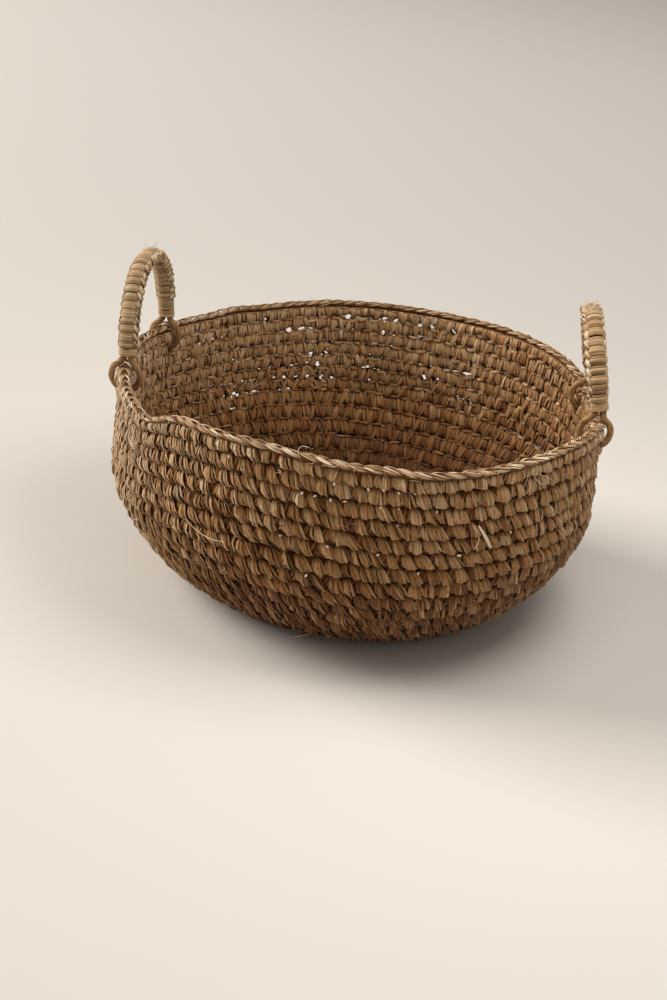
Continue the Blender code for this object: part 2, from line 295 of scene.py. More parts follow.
def fill(tree: bpy.types.NodeTree, node: bpy.types.Node, inputs: Inputs) -> None:
    """Set or link a node's inputs.

    Args:
        tree: The node's tree.
        node: The node.
        inputs: Numbers, colours or other nodes' outputs by the input's name or place.
    """
    for name, value in inputs.items():
        if isinstance(value, bpy.types.NodeSocket):
            tree.links.new(value, node.inputs[name])
        else:
            node.inputs[name].default_value = value


def new_node(
    tree: bpy.types.NodeTree, kind: str, output: str | int, inputs: Inputs, **settings: str
) -> bpy.types.NodeSocket:
    """Add a shader node and return one of its outputs.

    Args:
        tree: The tree that gets it.
        kind: Its type, without Blender's prefix.
        output: Name or place of the output.
        inputs: Its inputs, as fill takes them.
        settings: Its own settings.

    Returns:
        The output.
    """
    node = tree.nodes.new(f"ShaderNode{kind}")
    for name, value in settings.items():
        setattr(node, name, value)
    fill(tree, node, inputs)
    return node.outputs[output]


@dataclass(frozen=True)
class RaffiaFinish:
    """One finish of raffia: streaks along the strand, tones between strands, painted shade in the weave's
    depths.
    """

    slot: str  # Material slot of the record that the finish stands for.
    # Colours from the darkest strand to the palest, as a screen shows them.
    tones: tuple[tuple[int, int, int], ...]
    # Painted shade: share of red, green and blue that is left deep in the weave, where the height attribute
    # is 0.
    deep: tuple[float, float, float] = (0.42, 0.26, 0.09)
    roughness: float = 0.52
    streaks: float = 0.5  # Strength of the streaks along the strands.
    gloss: float = 0.22  # Strength of the reflections.
    # Fibres to the metre across the strand and along it.
    fibre_scale: tuple[float, float] = (1000.0, 60.0)
    patch_scale: float = 60.0  # Patches of tone and hue to the metre.
    patch_tone: float = 0.22  # How much the patches change the tone.

    def material(self) -> bpy.types.Material:
        """Return the finish's material, made on first use."""
        return bpy.data.materials.get(f"{self.slot}_look") or self._build()

    def _build(self) -> bpy.types.Material:
        """Build the node tree: the ramp's colour times the tint, mixed by the height towards the painted
        shade of the deep colour, times the streaks.

        Returns:
            The new material.
        """
        made = bpy.data.materials.new(f"{self.slot}_look")
        made.use_nodes = True
        tree = made.node_tree
        uv = new_node(tree, "UVMap", "UV", {}, uv_map="strand")
        stretched = new_node(tree, "Mapping", "Vector", {"Vector": uv, "Scale": (*self.fibre_scale, 1.0)})
        streaked = new_node(tree, "TexNoise", "Fac", {"Vector": stretched, "Scale": 1.0, "Detail": 3.0})
        spot = new_node(tree, "TexCoord", "Object", {})
        parts = {"Vector": spot, "Scale": self.patch_scale, "Detail": 2.0}
        patches = new_node(tree, "TexNoise", "Fac", parts)
        tone = new_node(tree, "Attribute", "Fac", {}, attribute_name="tone")
        height = new_node(tree, "Attribute", "Fac", {}, attribute_name="height")
        parts = {0: patches, 1: self.patch_tone, 2: tone}
        shifted = new_node(tree, "Math", "Value", parts, operation="MULTIPLY_ADD")
        parts = {0: shifted, 1: 0.5 * self.patch_tone}
        level = new_node(tree, "Math", "Value", parts, operation="SUBTRACT")
        colour = new_node(tree, "ValToRGB", "Color", {"Fac": level})
        self._fill_ramp(colour.node.color_ramp)

        faint, bold = 1.0 - self.streaks, 1.0 + 0.5 * self.streaks
        parts = {"Value": streaked, "From Min": 0.30, "From Max": 0.70, "To Min": faint, "To Max": bold}
        lines = new_node(tree, "MapRange", "Result", parts)
        hue = new_node(tree, "MapRange", "Result", {"Value": patches, "From Min": 0.35, "From Max": 0.65})
        parts = {"Factor": hue, 6: (1.03, 0.985, 0.94, 1.0), 7: (0.98, 1.005, 0.98, 1.0)}
        tint = new_node(tree, "Mix", 2, parts, data_type="RGBA")
        # Painted shade: where the height attribute falls to 0, deep in the weave, the colour goes to the deep
        # share.
        parts = {"Factor": height, 6: (*self.deep, 1.0), 7: tint}
        depth = new_node(tree, "Mix", 2, parts, data_type="RGBA")
        shaded = new_node(tree, "VectorMath", "Vector", {0: colour, 1: depth}, operation="MULTIPLY")
        painted = new_node(tree, "VectorMath", "Vector", {0: shaded, "Scale": lines}, operation="SCALE")
        bump = new_node(tree, "Bump", "Normal", {"Height": streaked, "Strength": 0.45, "Distance": 0.0003})

        look = {
            "Base Color": painted,
            "Normal": bump,
            "Roughness": self.roughness,
            "Specular IOR Level": self.gloss,
            "Specular Tint": (1.0, 0.80, 0.58, 1.0),
            "Sheen Weight": 0.18,
            "Sheen Tint": (1.0, 0.82, 0.62, 1.0),
            "Sheen Roughness": 0.45,
        }
        fill(tree, tree.nodes["Principled BSDF"], look)
        return made

    def _fill_ramp(self, ramp: bpy.types.ColorRamp) -> None:
        """Spread the tones evenly over a colour ramp.

        Args:
            ramp: The ramp.
        """
        while len(ramp.elements) < len(self.tones):
            ramp.elements.new(0.5)
        for i, colour in enumerate(self.tones):
            ramp.elements[i].position = i / (len(self.tones) - 1)
            ramp.elements[i].color = screen_colour(colour)


def screen_colour(shown: tuple[int, int, int]) -> tuple[float, ...]:
    """Turn a colour as a screen shows it into Blender's linear one, by the sRGB curve.

    Args:
        shown: Red, green and blue from 0 to 255.

    Returns:
        The linear colour with full alpha.
    """
    level = np.array(shown) / 255.0
    linear = np.where(level <= 0.04045, level / 12.92, ((level + 0.055) / 1.055) ** 2.4)
    return (*linear.tolist(), 1.0)


WALL_FINISH = RaffiaFinish(
    "raffia_wall",
    ((104, 64, 31), (148, 102, 59), (176, 135, 91), (198, 162, 122), (226, 199, 168)),
)
BASE_FINISH = RaffiaFinish(
    "raffia_base",
    ((104, 64, 31), (144, 100, 58), (170, 130, 86), (190, 153, 111), (216, 186, 148)),
)
EDGING_FINISH = RaffiaFinish(
    "raffia_edging",
    ((124, 88, 52), (160, 122, 84), (190, 157, 120), (216, 190, 158), (242, 224, 202)),
)
COVER_FINISH = RaffiaFinish(
    "raffia_cover",
    ((120, 88, 58), (158, 127, 92), (186, 157, 122), (206, 181, 150), (224, 204, 178)),
    roughness=0.5,
    streaks=0.3,
)
CORD_FINISH = RaffiaFinish(
    "raffia_cord",
    ((104, 70, 40), (138, 98, 60), (164, 124, 82), (184, 146, 104), (204, 170, 130)),
    roughness=0.5,
    streaks=0.75,
)
BINDING_FINISH = RaffiaFinish(
    "raffia_binding",
    ((130, 92, 56), (160, 122, 82), (190, 154, 112), (214, 184, 146), (244, 228, 206)),
    streaks=0.3,
)


def place(made: bpy.types.Object, finish: RaffiaFinish, body: str, *nodes: str) -> None:
    """Dress a piece, seat it on its body, and let it stand for solids of the part.

    Args:
        made: The piece.
        finish: Its finish.
        body: Name of the body that it rides on.
        nodes: Names of the solids that it replaces.
    """
    made.data.materials.append(finish.material())
    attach(made, body)
    if nodes:
        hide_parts(*nodes)
    LOG.info("%s: %d faces", made.name, len(made.data.polygons))


@dataclass(frozen=True)
class BasketForm:
    """The uneven, hand-made shape of the basket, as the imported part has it."""

    top_radius: float = 0.1782  # Radius of the wall's outside at its top.
    belly_bulge: float = 0.0012  # How much wider the wall is at its belly.
    belly_height: float = 0.0830  # Height where the rounded corner ends.
    base_radius: float = 0.1120
    fullness: float = 1.417  # Fullness of the rounded corner, 2 for a quarter ellipse.
    rim_height: float = 0.1558
    # How far the rim's centre stands from the base's.
    rim_offset: tuple[float, float] = (-0.0024, -0.0036)
    thickness: float = 0.0086
    band_top: float = 0.0047  # Height of the edging and the gap under it.
    top_round: float = 0.0098
    # Waves of the rim's height as (count, size, bearing in degrees).
    height_waves: Waves = ((1, 0.0079, 3.0), (2, 0.0049, 97.0), (4, 0.0034, -25.0), (5, 0.0025, 35.0))
    # Waves of the outline as (count, share of the radius, bearing in degrees).
    outline_waves: Waves = ((2, 0.0188, 89.0), (3, 0.0123, 49.0), (4, 0.0086, -36.0), (5, 0.0093, 34.0))
    # Short rises and dips of the rim as (bearing and half width in degrees, height).
    rim_dents: tuple[tuple[float, float, float], ...] = (
        (-141.5, 5.5, -0.0042),
        (-126.0, 6.0, 0.0036),
        (-79.0, 6.0, 0.0020),
        (134.0, 5.0, 0.0020),
    )
    feet: tuple[float, ...] = (158.8, 188.8, -10.4, 19.6)  # Bearings of the handles' eyes, in degrees.
    foot_spread: float = 3.0  # How far round the basket an eye changes the stitches, in degrees.
    left_front: float = 210.0  # Bearing of the basket's left front, in degrees.

    def at_feet(self, angle: Array) -> Array:
        """Return 1 at the handles' eyes, falling like a bell to their sides."""
        return bells(angle, self.feet, self.foot_spread)

    def at_left(self, angle: Array) -> Array:
        """Return 1 on the basket's left front, falling like a bell over half a radian."""
        return bells(angle, (self.left_front,), math.degrees(0.5))

    @staticmethod
    def _waves(angle: Array, waves: Waves) -> Array:
        """Return the sum of the cosine waves at the angles."""
        return sum(size * np.cos(count * (angle - math.radians(crest))) for count, size, crest in waves)

    def uneven(self, radius: Array, angle: Array, height: Array) -> Array:
        """Return points of the hand-made basket for round, even coordinates.

        The waves and the rim's offset grow evenly from nothing at the floor to their full size
        at the rim's height. The dents are bell curves of the bearing, and grow with the
        sixth power of the height.

        Args:
            radius: Distance from the middle line.
            angle: Bearing from +X, in radians.
            height: Height above the floor.

        Returns:
            The points, with a last axis of three.
        """
        rise = height / self.rim_height
        spread = radius * (1.0 + rise * self._waves(angle, self.outline_waves))
        x = spread * np.cos(angle) + rise * self.rim_offset[0]
        y = spread * np.sin(angle) + rise * self.rim_offset[1]
        z = height + rise * self._waves(angle, self.height_waves)
        for bearing, half_width, size in self.rim_dents:
            z = z + size * rise**6 * bells(angle, (bearing,), half_width)
        return grid(x, y, z)

    def profile(self) -> tuple[Array, Array]:
        """Return distances up the wall's middle line, with (radius, height) and outward direction.

        The outside runs flat to the base's radius, then round a superelliptic corner to the
        belly, then straight to the top. The middle lies half a thickness inside it.

        Returns:
            The distances, and a row of four for each.
        """
        belly = self.top_radius + self.belly_bulge
        flat = grid(np.linspace(0.0, self.base_radius, 15)[:-1], 0.0)
        turn = np.linspace(0.0, math.pi / 2, 41)
        power = 2.0 / self.fullness
        reach = self.base_radius + (belly - self.base_radius) * np.sin(turn) ** power
        climb = self.belly_height * (1.0 - np.cos(turn).clip(0.0) ** power)
        top = (self.top_radius, self.rim_height - self.band_top)
        upright = np.linspace((belly, self.belly_height), top, 10)[1:]
        outside = np.concatenate([flat, grid(reach, climb), upright])
        along = unit(np.gradient(outside, axis=0))
        outward = grid(along[:, 1], -along[:, 0])
        middle = outside - 0.5 * self.thickness * outward
        return lengths_along(middle), np.concatenate([middle, outward], axis=-1)

    def on_wall(self, angle: Array, distance: Array, depth: Array) -> Array:
        """Return points at bearings, distances up the wall's middle line and depths out of it.

        Args:
            angle: Bearing from +X, in radians.
            distance: Distance along the wall's middle line from the base's centre.
            depth: Distance out of the middle, negative towards the inside.

        Returns:
            The points, with a last axis of three.
        """
        found = look_up(distance, *self.profile())
        placed = found[..., :2] + depth[..., None] * unit(found[..., 2:])
        return self.uneven(placed[..., 0], angle, placed[..., 1])

    def radius_at(self, distance: float) -> float:
        """Return the middle line's radius at a distance up the wall."""
        return float(look_up(distance, *self.profile())[0])

    def length(self) -> float:
        """Return the length of the wall's middle line from the base's centre to its top."""
        return float(self.profile()[0][-1])


FORM = BasketForm()
HALF_SPANS = {Side.LEFT: 0.04481, Side.RIGHT: 0.04387}  # Half the distance between a handle's eyes.
EYE_RADIUS = 0.01067  # Radius of the middle line of an eye's ring.
EYE_ROOM = 0.0079  # Distance from the hinge line that the rim may reach inside an eye.
EYE_HALF_LENGTH = 0.0029  # Half the length along the hinge line over which that limit holds.
EYE_NEAR = 0.03  # Distance from the hinge line beyond which nothing of the rim is drawn in.
CORD_REACH = 0.0036  # Distance from the middle of an eye's cord within which the wall is pressed away.
CORD_ROOM = 0.0030  # Least distance from it that the wall is pressed to.
TINY = 0.00001  # Least length that a length is divided by.


def hinge(side: Side) -> tuple[Array, Array]:
    """Return a point on a handle's hinge line, and the line's direction."""
    joint = next(item for item in frame["joints"] if item["name"] == f"{side.value}_handle_tilt")
    return np.array(joint["pos_m"], dtype=float), unit(np.array(joint["axis"], dtype=float))


def about_hinge(points: Array, side: Side) -> tuple[Array, Array, Array, Array]:
    """Return where points lie about a handle's hinge line.

    Args:
        points: The points.
        side: The handle.

    Returns:
        The line's direction, the points' places along it from its middle, the nearest points
        on the line, and the vectors from those to the points.
    """
    origin, axis = hinge(side)
    along = (points - origin) @ axis
    nearest = origin + along[..., None] * axis
    return axis, along, nearest, points - nearest


def snug(points: Array) -> Array:
    """Return points of the rim drawn in where the handles' eyes close round them.

    The limit L of the distance from the hinge line is the eye's room inside an eye and grows by
    1 for each step along the line out of it. A distance r over 0.7 L becomes L times 1 less 0.3
    times the power of e to (0.7 L less r) over 0.3 L, so strands keep their order.

    Args:
        points: Points of the basket near its rim.

    Returns:
        The points, the same where no eye is near.
    """
    for side, half_span in HALF_SPANS.items():
        _, along, nearest, outward = about_hinge(points, side)
        distance = np.linalg.norm(outward, axis=-1)
        limit = EYE_ROOM + np.maximum(np.abs(np.abs(along) - half_span) - EYE_HALF_LENGTH, 0.0)
        power = ((0.7 * limit - distance) / (0.3 * limit)).clip(-9.0, 0.0)
        drawn = limit * (1.0 - 0.3 * np.exp(power)) / np.maximum(distance, TINY)
        near = (distance > 0.7 * limit) & (distance < EYE_NEAR)
        points = nearest + np.where(near, drawn, 1.0)[..., None] * outward
    return points


def pressed(points: Array) -> Array:
    """Return points of the wall pressed out of the eyes' cords.

    A point within the cord's reach of the middle line of an eye's ring goes straight away from
    it, to the cord's room plus a sixth of its distance, so strands keep their order.

    Args:
        points: Points of the basket near its rim.

    Returns:
        The points, the same where no cord is near.
    """
    for side, half_span in HALF_SPANS.items():
        axis, along, nearest, outward = about_hinge(points, side)
        distance = np.maximum(np.linalg.norm(outward, axis=-1), TINY)
        beside = along - np.copysign(half_span, along)
        off = np.maximum(np.hypot(beside, distance - EYE_RADIUS), TINY)
        away = np.where(off < CORD_REACH, (CORD_ROOM + off / 6.0) / off, 1.0)
        ring = (EYE_RADIUS + away * (distance - EYE_RADIUS)) / distance
        points = nearest + ((away - 1.0) * beside)[..., None] * axis + ring[..., None] * outward
    return points


@dataclass(frozen=True)
class Fan:
    """The sizes of one kind of fan: flat strands side by side that arch over a round."""

    strands: int
    stations: int
    slant: float  # How far a strand moves along the round from its top to its bottom.
    narrow: float  # Half the fan's breadth at its pointed ends.
    broad: float  # Half the fan's breadth at its broadest.
    bow: float  # How far a strand bows back at mid-length.
    reach: float  # Half the fan's length as a share of the round's height.
    seat: float  # Depth of the fan's tucked ends.
    bulge: float  # How far the fan stands out from its ends.
    width: float
    roll: float  # Turn of a strand about its own length, in degrees.
    shift: float = 0.0  # Place of the fan along its stitch, as a share of the pitch.
    middle: float = 0.0  # Height of the fan's middle over the round's, as a share of the round's height.
    tone: float = 0.5  # Middle tone of the strands.
    # Surface and floor set the painted shade: lower levels take more of the deep colour.
    surface: float = 1.0  # 0 for a fan deep in the weave to 1 for one on its surface.
    floor: float = 0.0  # The same for the fan's tucked ends.
    scatter: float = 0.0004  # How much the stitches' heights differ.


@dataclass(frozen=True)
class HandWork:
    """How unevenly the stitches are worked, as spreads of a normal draw or as ranges."""

    place: float = 0.09  # Spread of the stitches' places, in pitches.
    waver: float = 0.3  # Slow change of the slant round the basket, as a share of it.
    slant: float = 0.42  # Spread of the stitches' slant, as a share of it.
    spacing: float = 0.22  # Spread of a strand's share of the fan's breadth.
    breadth: tuple[float, float] = (0.70, 1.20)  # Range of the fans' breadth.
    bow: float = 0.6  # Spread of the strands' bow, as a share of it.
    length: float = 0.05  # Spread of the strands' length, as a share of it.
    strand_lift: float = 0.00040  # Spread of the strands' height over the wall.
    stitch_lift: float = 0.00022  # Spread of the stitches' height over the wall.
    width: tuple[float, float] = (0.35, 1.45)  # Range of the strands' width.
    roll: float = 12.0  # Spread of the strands' turn, in degrees.
    strand_tone: float = 0.14  # Spread of the strands' tone.
    stitch_tone: float = 0.07  # Spread of the stitches' tone.
    left_slant: float = 0.5  # Slant that the stitches on the left front have on top, as a share of it.
    left_bow: float = 1.7  # Bow that they have on top, as a share of it.
    left_width: float = 0.42  # Share of the width that their strands lose.
    left_turn: float = 20.0  # Further turn of their strands, in degrees.


HAND = HandWork()
PETAL = Fan(
    strands=6, stations=6, slant=0.0052, narrow=0.0001, broad=0.0036, bow=0.0010, reach=0.56,
    seat=0.0008, bulge=0.0036, width=0.0029, roll=14.0,
)
# Painted shade: the under fans, seen in the gaps, sit at 0.4 of the surface level.
UNDER_FAN = Fan(
    strands=2, stations=5, slant=-0.0036, narrow=0.0008, broad=0.0020, bow=-0.0004, reach=0.54,
    seat=0.0010, bulge=0.0017, width=0.0030, roll=-6.0, shift=0.45, tone=0.42, surface=0.4,
)
STRAY_STRAND = Fan(
    strands=1, stations=5, slant=0.0064, narrow=0.0012, broad=0.0090, bow=0.0010, reach=0.56,
    seat=0.0016, bulge=0.0032, width=0.0012, roll=6.0, tone=0.66,
)
OUTER_FANS = (PETAL, UNDER_FAN, STRAY_STRAND)
# Painted light: the inside's tone is paler than the outside's, for light through the raffia and bounced in
# the bowl. Its surface and floor set the painted shade.
INNER_LOOK = {"tone": 0.66, "surface": 0.84, "floor": 0.70, "scatter": 0.0008}
INNER_FANS = (
    Fan(
        strands=3, stations=5, slant=0.0036, narrow=0.0009, broad=0.0018, bow=0.0002, reach=0.60,
        seat=0.0018, bulge=0.0022, width=0.0028, roll=10.0, shift=0.26, middle=-0.02, **INNER_LOOK,
    ),
    Fan(
        strands=2, stations=4, slant=-0.0030, narrow=0.0009, broad=0.0018, bow=0.0, reach=0.58,
        seat=0.0018, bulge=0.0024, width=0.0034, roll=-8.0, shift=-0.25, **INNER_LOOK,
    ),
)
STITCH_PITCH = 0.0102
STRAND_THICKNESS = 0.0006

# The handles' eyes pass through the round with this number, at this distance up the wall.
EYE_ROUND = 23
EYE_DISTANCE = 0.2710
TOP_ROUND = 24

# Small gaps between stitches on the far wall, by the round above them, as bearings in degrees.
PINHOLE_RADIUS = 0.0016
PINHOLES = {
    18: (132, 135),
    19: (64, 68, 105, 108, 114, 117, 126, 130, 136, 139),
    20: (74, 78, 94, 108, 111, 114, 120),
    21: (65, 94, 107, 110, 134),
    22: (68, 107),
    23: (88, 91, 113, 117, 141, 144),
    24: (55, 72, 78, 81, 88, 91, 101, 110, 124, 137),
}

# The palest strand ends on the outside, by the round above them, as bearings in degrees.
PALE_ENDS = {
    18: (-93.0,),
    19: (-70.5,),
    20: (-98.8, -89.8, -79.0, -62.8),
    21: (-51.2,),
    22: (-76.0,),
    23: (-95.5, -92.8, -90.0, -86.8, -80.0, -76.5, -68.5),
    24: (-111.8, -89.5, -83.0, -80.2, -77.0, -73.8),
}


@dataclass
class CrochetRound:
    """One crochet round: a core of post loops, its outer half painted dark with shade, under the fans of both
    faces.
    """

    node: str  # Name of the solid that the round replaces.
    start: float  # Distance up the wall's middle line where the round starts.
    end: float  # Distance where it ends.
    number: int  # The round's number from the base's centre, which seeds its unevenness.
    finish: RaffiaFinish
    flatten: float = 1.0  # Share of the fans' depth that the outside keeps.
    lean: float = 1.0  # Share of the fans' slant that the round has.
    swell: float = 0.0  # How much thicker the round is at the handles' eyes.
    # Painted light and shade: what the round adds to the tone of its fans, outside and inside, darker on the
    # lower rounds and low inside the bowl, where less light falls.
    painted_light: tuple[float, float] = (0.0, 0.0)
    rng: np.random.Generator = field(init=False)  # Source of the unevenness.
    middle: float = field(init=False)  # Distance up the wall of the round's middle.
    tall: float = field(init=False)  # Height of the round.
    radius: float = field(init=False)  # Radius of its middle.
    stitches: int = field(init=False)  # Count of its stitches.
    pitch: float = field(init=False)  # Distance from stitch to stitch.
    centres: Array = field(init=False)  # Bearings of the stitches, in radians.

    def __post_init__(self) -> None:
        """Work out the round's sizes and the bearings of its stitches."""
        self.rng = np.random.default_rng(100 + self.number)
        self.middle = 0.5 * (self.start + self.end)
        self.tall = self.end - self.start
        self.radius = FORM.radius_at(self.middle)
        self.stitches = max(7, round(2.0 * math.pi * self.radius / STITCH_PITCH))
        self.pitch = 2.0 * math.pi * self.radius / self.stitches
        aside = 0.43 * self.number + self.rng.normal(0.0, HAND.place, self.stitches)
        self.centres = full_turn(self.stitches) + aside * self.pitch / self.radius

    def on_basket(self, face: Face, flat: Strands, angle: Array) -> Strands:
        """Return strands bent onto the basket, off the floor and clear of the handles' eyes.

        Args:
            face: The wall's face that the strands lie on.
            flat: Strands whose points are (along the round, up the wall, out of it).
            angle: Bearing of each strand's stitch, which drives the round's waviness.

        Returns:
            The strands.
        """
        x, y, z = np.moveaxis(flat.points, -1, 0)
        wave = 0.0005 * drift(angle + 0.3 * self.number, np.random.default_rng(7))
        distance = np.maximum(y + wave[:, None, None], 0.0004)
        bearing = x / self.radius
        keep = self.flatten if face is Face.OUTSIDE else 1.0
        depth = keep * (1.0 + self.swell * FORM.at_feet(bearing)) * z
        points = FORM.on_wall(bearing, distance, depth)
        points[..., 2] = np.maximum(points[..., 2], 0.0003 + 0.02 * np.abs(z))
        if self.number == EYE_ROUND:
            points = pressed(points)
        elif self.number > EYE_ROUND:
            points = snug(points)
        return flat.moved(points)

    def beyond(self, x: Array, bearing: float) -> Array:
        """Return how far places along the round lie beyond a bearing in degrees."""
        turn = (x / self.radius - math.radians(bearing) + math.pi) % (2.0 * math.pi) - math.pi
        return turn * self.radius

    def parted(self, x: Array, y: Array, z: Array, width: Array) -> Array:
        """Return the places along the round moved aside from pinholes and from the eyes' cords.

        A place within a hole's radius plus half the strand's width goes out to that distance.
        The push fades with a half circle over 3.5 mm up and down the line of sight, which
        sinks by 0.44 for each step outward. A strand near a cord parts the same way, all of
        it to the side that most of it lies on, over 6.2 mm up and down.

        Args:
            x: Places along the round.
            y: Distances up the wall.
            z: Depths out of the wall.
            width: Widths of the strands.

        Returns:
            The new places along the round.
        """
        for edge, height in ((self.number, self.start), (self.number + 1, self.end)):
            need = (PINHOLE_RADIUS + 0.5 * width) * half_circle((y + 0.44 * z - height) / 0.0035)
            for bearing in PINHOLES.get(edge, ()):
                away = self.beyond(x, bearing)
                x = x + np.where(np.abs(away) < need, np.copysign(need, away) - away, 0.0)
        if self.number == EYE_ROUND:
            need = (0.0037 + 0.5 * width) * half_circle((y - EYE_DISTANCE) / 0.0062)
            for bearing in FORM.feet:
                away = self.beyond(x, bearing)
                side = np.copysign(1.0, away.mean(axis=-1, keepdims=True))
                near = (need > 0.0) & (side * away < need) & (np.abs(away) < 0.0090)
                x = x + np.where(near, side * need - away, 0.0)
        return x

    def fans(self, face: Face, fan: Fan) -> Strands:
        """Return one kind of fan in every stitch on one face of the round.

        With t from 0 at a strand's top to 1 at its bottom, the place along the round is the
        stitch's centre plus the slant times t less a half, plus the strand's share of the
        fan's breadth, less the bow times sin of pi t. The breadth and the strands' width open
        with the sine of pi times 0.04 plus 0.66 t. Up the wall the strand goes with the
        cosine of pi t to the power 1.2, and out of it with the sine of pi t to the power 1.6,
        so it is fullest below its middle. Strands at the fan's sides end sooner and stand out
        less, with the square of their share, which makes a rounded petal.

        Args:
            face: The wall's face that the fans lie on.
            fan: The sizes of a fan.

        Returns:
            The strands, placed on the basket.
        """
        rng, n, m = self.rng, self.stitches, fan.strands
        outside = face is Face.OUTSIDE
        scale = self.pitch / STITCH_PITCH
        t = np.linspace(0.0, 1.0, fan.stations if self.number > 8 else min(fan.stations, 5))
        left = FORM.at_left(self.centres)
        lean = self.lean + HAND.left_slant * left + HAND.waver * drift(self.centres, rng)
        lean = fan.slant * (lean + rng.normal(0.0, HAND.slant, n))
        share = (2.0 * np.arange(m) - m + 1) / max(m - 1, 1) + rng.normal(0.0, HAND.spacing, (n, m))
        lean, left, share = lean[:, None, None], left[:, None, None], share[..., None]
        opened = np.sin(math.pi * (0.04 + 0.66 * t))
        breadth = (fan.narrow + (fan.broad - fan.narrow) * opened) * rng.uniform(*HAND.breadth, (n, 1, 1))
        bow = fan.bow * (1.0 + HAND.left_bow * left + rng.normal(0.0, HAND.bow, (n, m, 1)))
        x = scale * (lean * (t - 0.5) + share * breadth - bow * np.sin(math.pi * t))
        x = (self.centres * self.radius + fan.shift * self.pitch)[:, None, None] + x

        kept = by_round(self.number, (8, 1.0), (11, 0.89), (15, 0.89), (19, 0.93)) if outside else 1.0
        half = self.tall * fan.reach * kept * (1.0 + rng.normal(0.0, HAND.length, (n, m, 1)))
        y = self.middle + self.tall * fan.middle + rng.normal(0.0, fan.scatter, (n, 1, 1))
        fall = np.cos(math.pi * t**1.2)
        y = y + half * fall * np.where(fall < 0.0, 1.0 - 0.26 * share**2, 1.0)
        arch = np.sin(math.pi * t**1.6)
        lift = rng.normal(0.0, HAND.strand_lift, (n, m, 1)) + rng.normal(0.0, HAND.stitch_lift, (n, 1, 1))
        z = face.value * (fan.seat + (fan.bulge * (1.0 - 0.2 * share**2) + lift) * arch)

        width = scale * fan.width * (0.32 + 0.68 * opened) * rng.uniform(*HAND.width, (n, m, 1))
        width = width * (1.0 - HAND.left_width * left) * (1.0 - 0.5 * smooth(6.0 * t - 5.0))
        path = grid(self.parted(x, y, z, width), y, z).reshape(n * m, -1, 3)
        thick = STRAND_THICKNESS * (0.6 + 0.4 * np.sin(math.pi * t))
        turned = fan.roll + HAND.left_turn * np.repeat(left, m)[:, None]
        roll = np.radians(turned + rng.normal(0.0, HAND.roll, (n * m, 1)) + 14.0 * (t - 0.5))
        flat = sweep(path, np.array([face.value, 0.0, 0.0]), width.reshape(n * m, -1), thick, roll)

        # Painted light: the left front, where the window's light falls, is paler, by more on the low rounds.
        # Inside, the wall across from it gets painted shade.
        lit = by_round(self.number, (9, 0.60), (13, 0.80), (18, 0.52))
        stitch_painted_light = self.painted_light[0 if outside else 1] + lit * FORM.at_left(self.centres + 0.08)
        if not outside:
            stitch_painted_light = stitch_painted_light - 0.26 * FORM.at_left(self.centres + math.pi)
        drawn = rng.normal(0.0, HAND.stitch_tone, (n, 1)) + rng.normal(0.0, HAND.strand_tone, (n, m))
        tone = fan.tone + stitch_painted_light[:, None] + (1.0 if outside else 0.65) * drawn
        # Painted shade: a strand's tucked ends take the deep colour, its middle the fan's surface level.
        height = fan.floor + (fan.surface - fan.floor) * (1.45 * arch - 0.1).clip(0.0, 1.0)
        strands = self.on_basket(face, flat, np.repeat(self.centres, m))
        return strands.toned(tone.ravel(), height[:, None])

    def bars(self) -> Strands:
        """Return the bar over the seam above every inside stitch: a strand arched along the round.

        With t from 0 to 1, the place along the round is the pitch times 1.15 (t less a half) and
        the depth goes with sin of pi t. Beside a pinhole the bar drops below the seam.

        Returns:
            The strands, placed on the basket.
        """
        rng, shape = self.rng, (self.stitches, 1)
        t = np.linspace(0.0, 1.0, 5)
        arch = np.sin(math.pi * t)
        x = self.centres[:, None] * self.radius + 1.15 * self.pitch * (t - 0.5)
        slope = 0.0012 * (1.0 + rng.normal(0.0, 1.0, shape))
        beside = bells(self.centres, PINHOLES.get(self.number + 1, ()), 2.4).clip(0.0, 1.0)
        y = self.end - 0.0032 * beside[:, None] + rng.normal(0.0, 0.0004, shape) + slope * (0.5 - t)
        z = -(0.0010 + (0.0028 + rng.normal(0.0, 0.0004, shape)) * arch)
        width = 0.0024 * (0.5 + 0.5 * arch) * rng.uniform(0.6, 1.3, shape)
        roll = np.radians(rng.normal(0.0, 15.0, shape))
        flat = sweep(grid(x, y, z), np.array([0.0, 1.0, 0.0]), width, STRAND_THICKNESS, roll)
        # Painted light: the bars share the inside's paler tone.
        tone = 0.62 + self.painted_light[1] + rng.normal(0.0, 0.14, self.stitches)
        # Painted shade: the bar's ends, tucked in the seam, are darker.
        return self.on_basket(Face.INSIDE, flat, self.centres).toned(tone, (0.5 + 0.4 * arch)[:, None])

    def core(self) -> Strands:
        """Return the closed ring of post loops inside the round.

        Its section is an ellipse about as high as the round, lower beside the pinholes, and low
        and deep down where the eyes' cords pass. The section's depth swells and thins once for
        each stitch.

        Returns:
            The ring.
        """
        bearing = full_turn(4 * self.stitches)[:, None]
        angle = full_turn(6)
        beside = sum(bells(bearing, PINHOLES.get(edge, ()), 1.5) for edge in (self.number, self.number + 1))
        passed = FORM.at_feet(bearing) if self.number == EYE_ROUND else 0.0
        tall = self.tall * (0.49 - 0.18 * beside) * (1.0 - 0.84 * passed) * np.cos(angle)
        swell = 1.0 + 0.10 * np.cos(self.stitches * bearing)
        deep = np.where(np.sin(angle) < 0.0, 0.0026, 0.0016) * swell * np.sin(angle)
        distance = np.maximum(self.middle - 0.0046 * passed + tall, 0.0006)
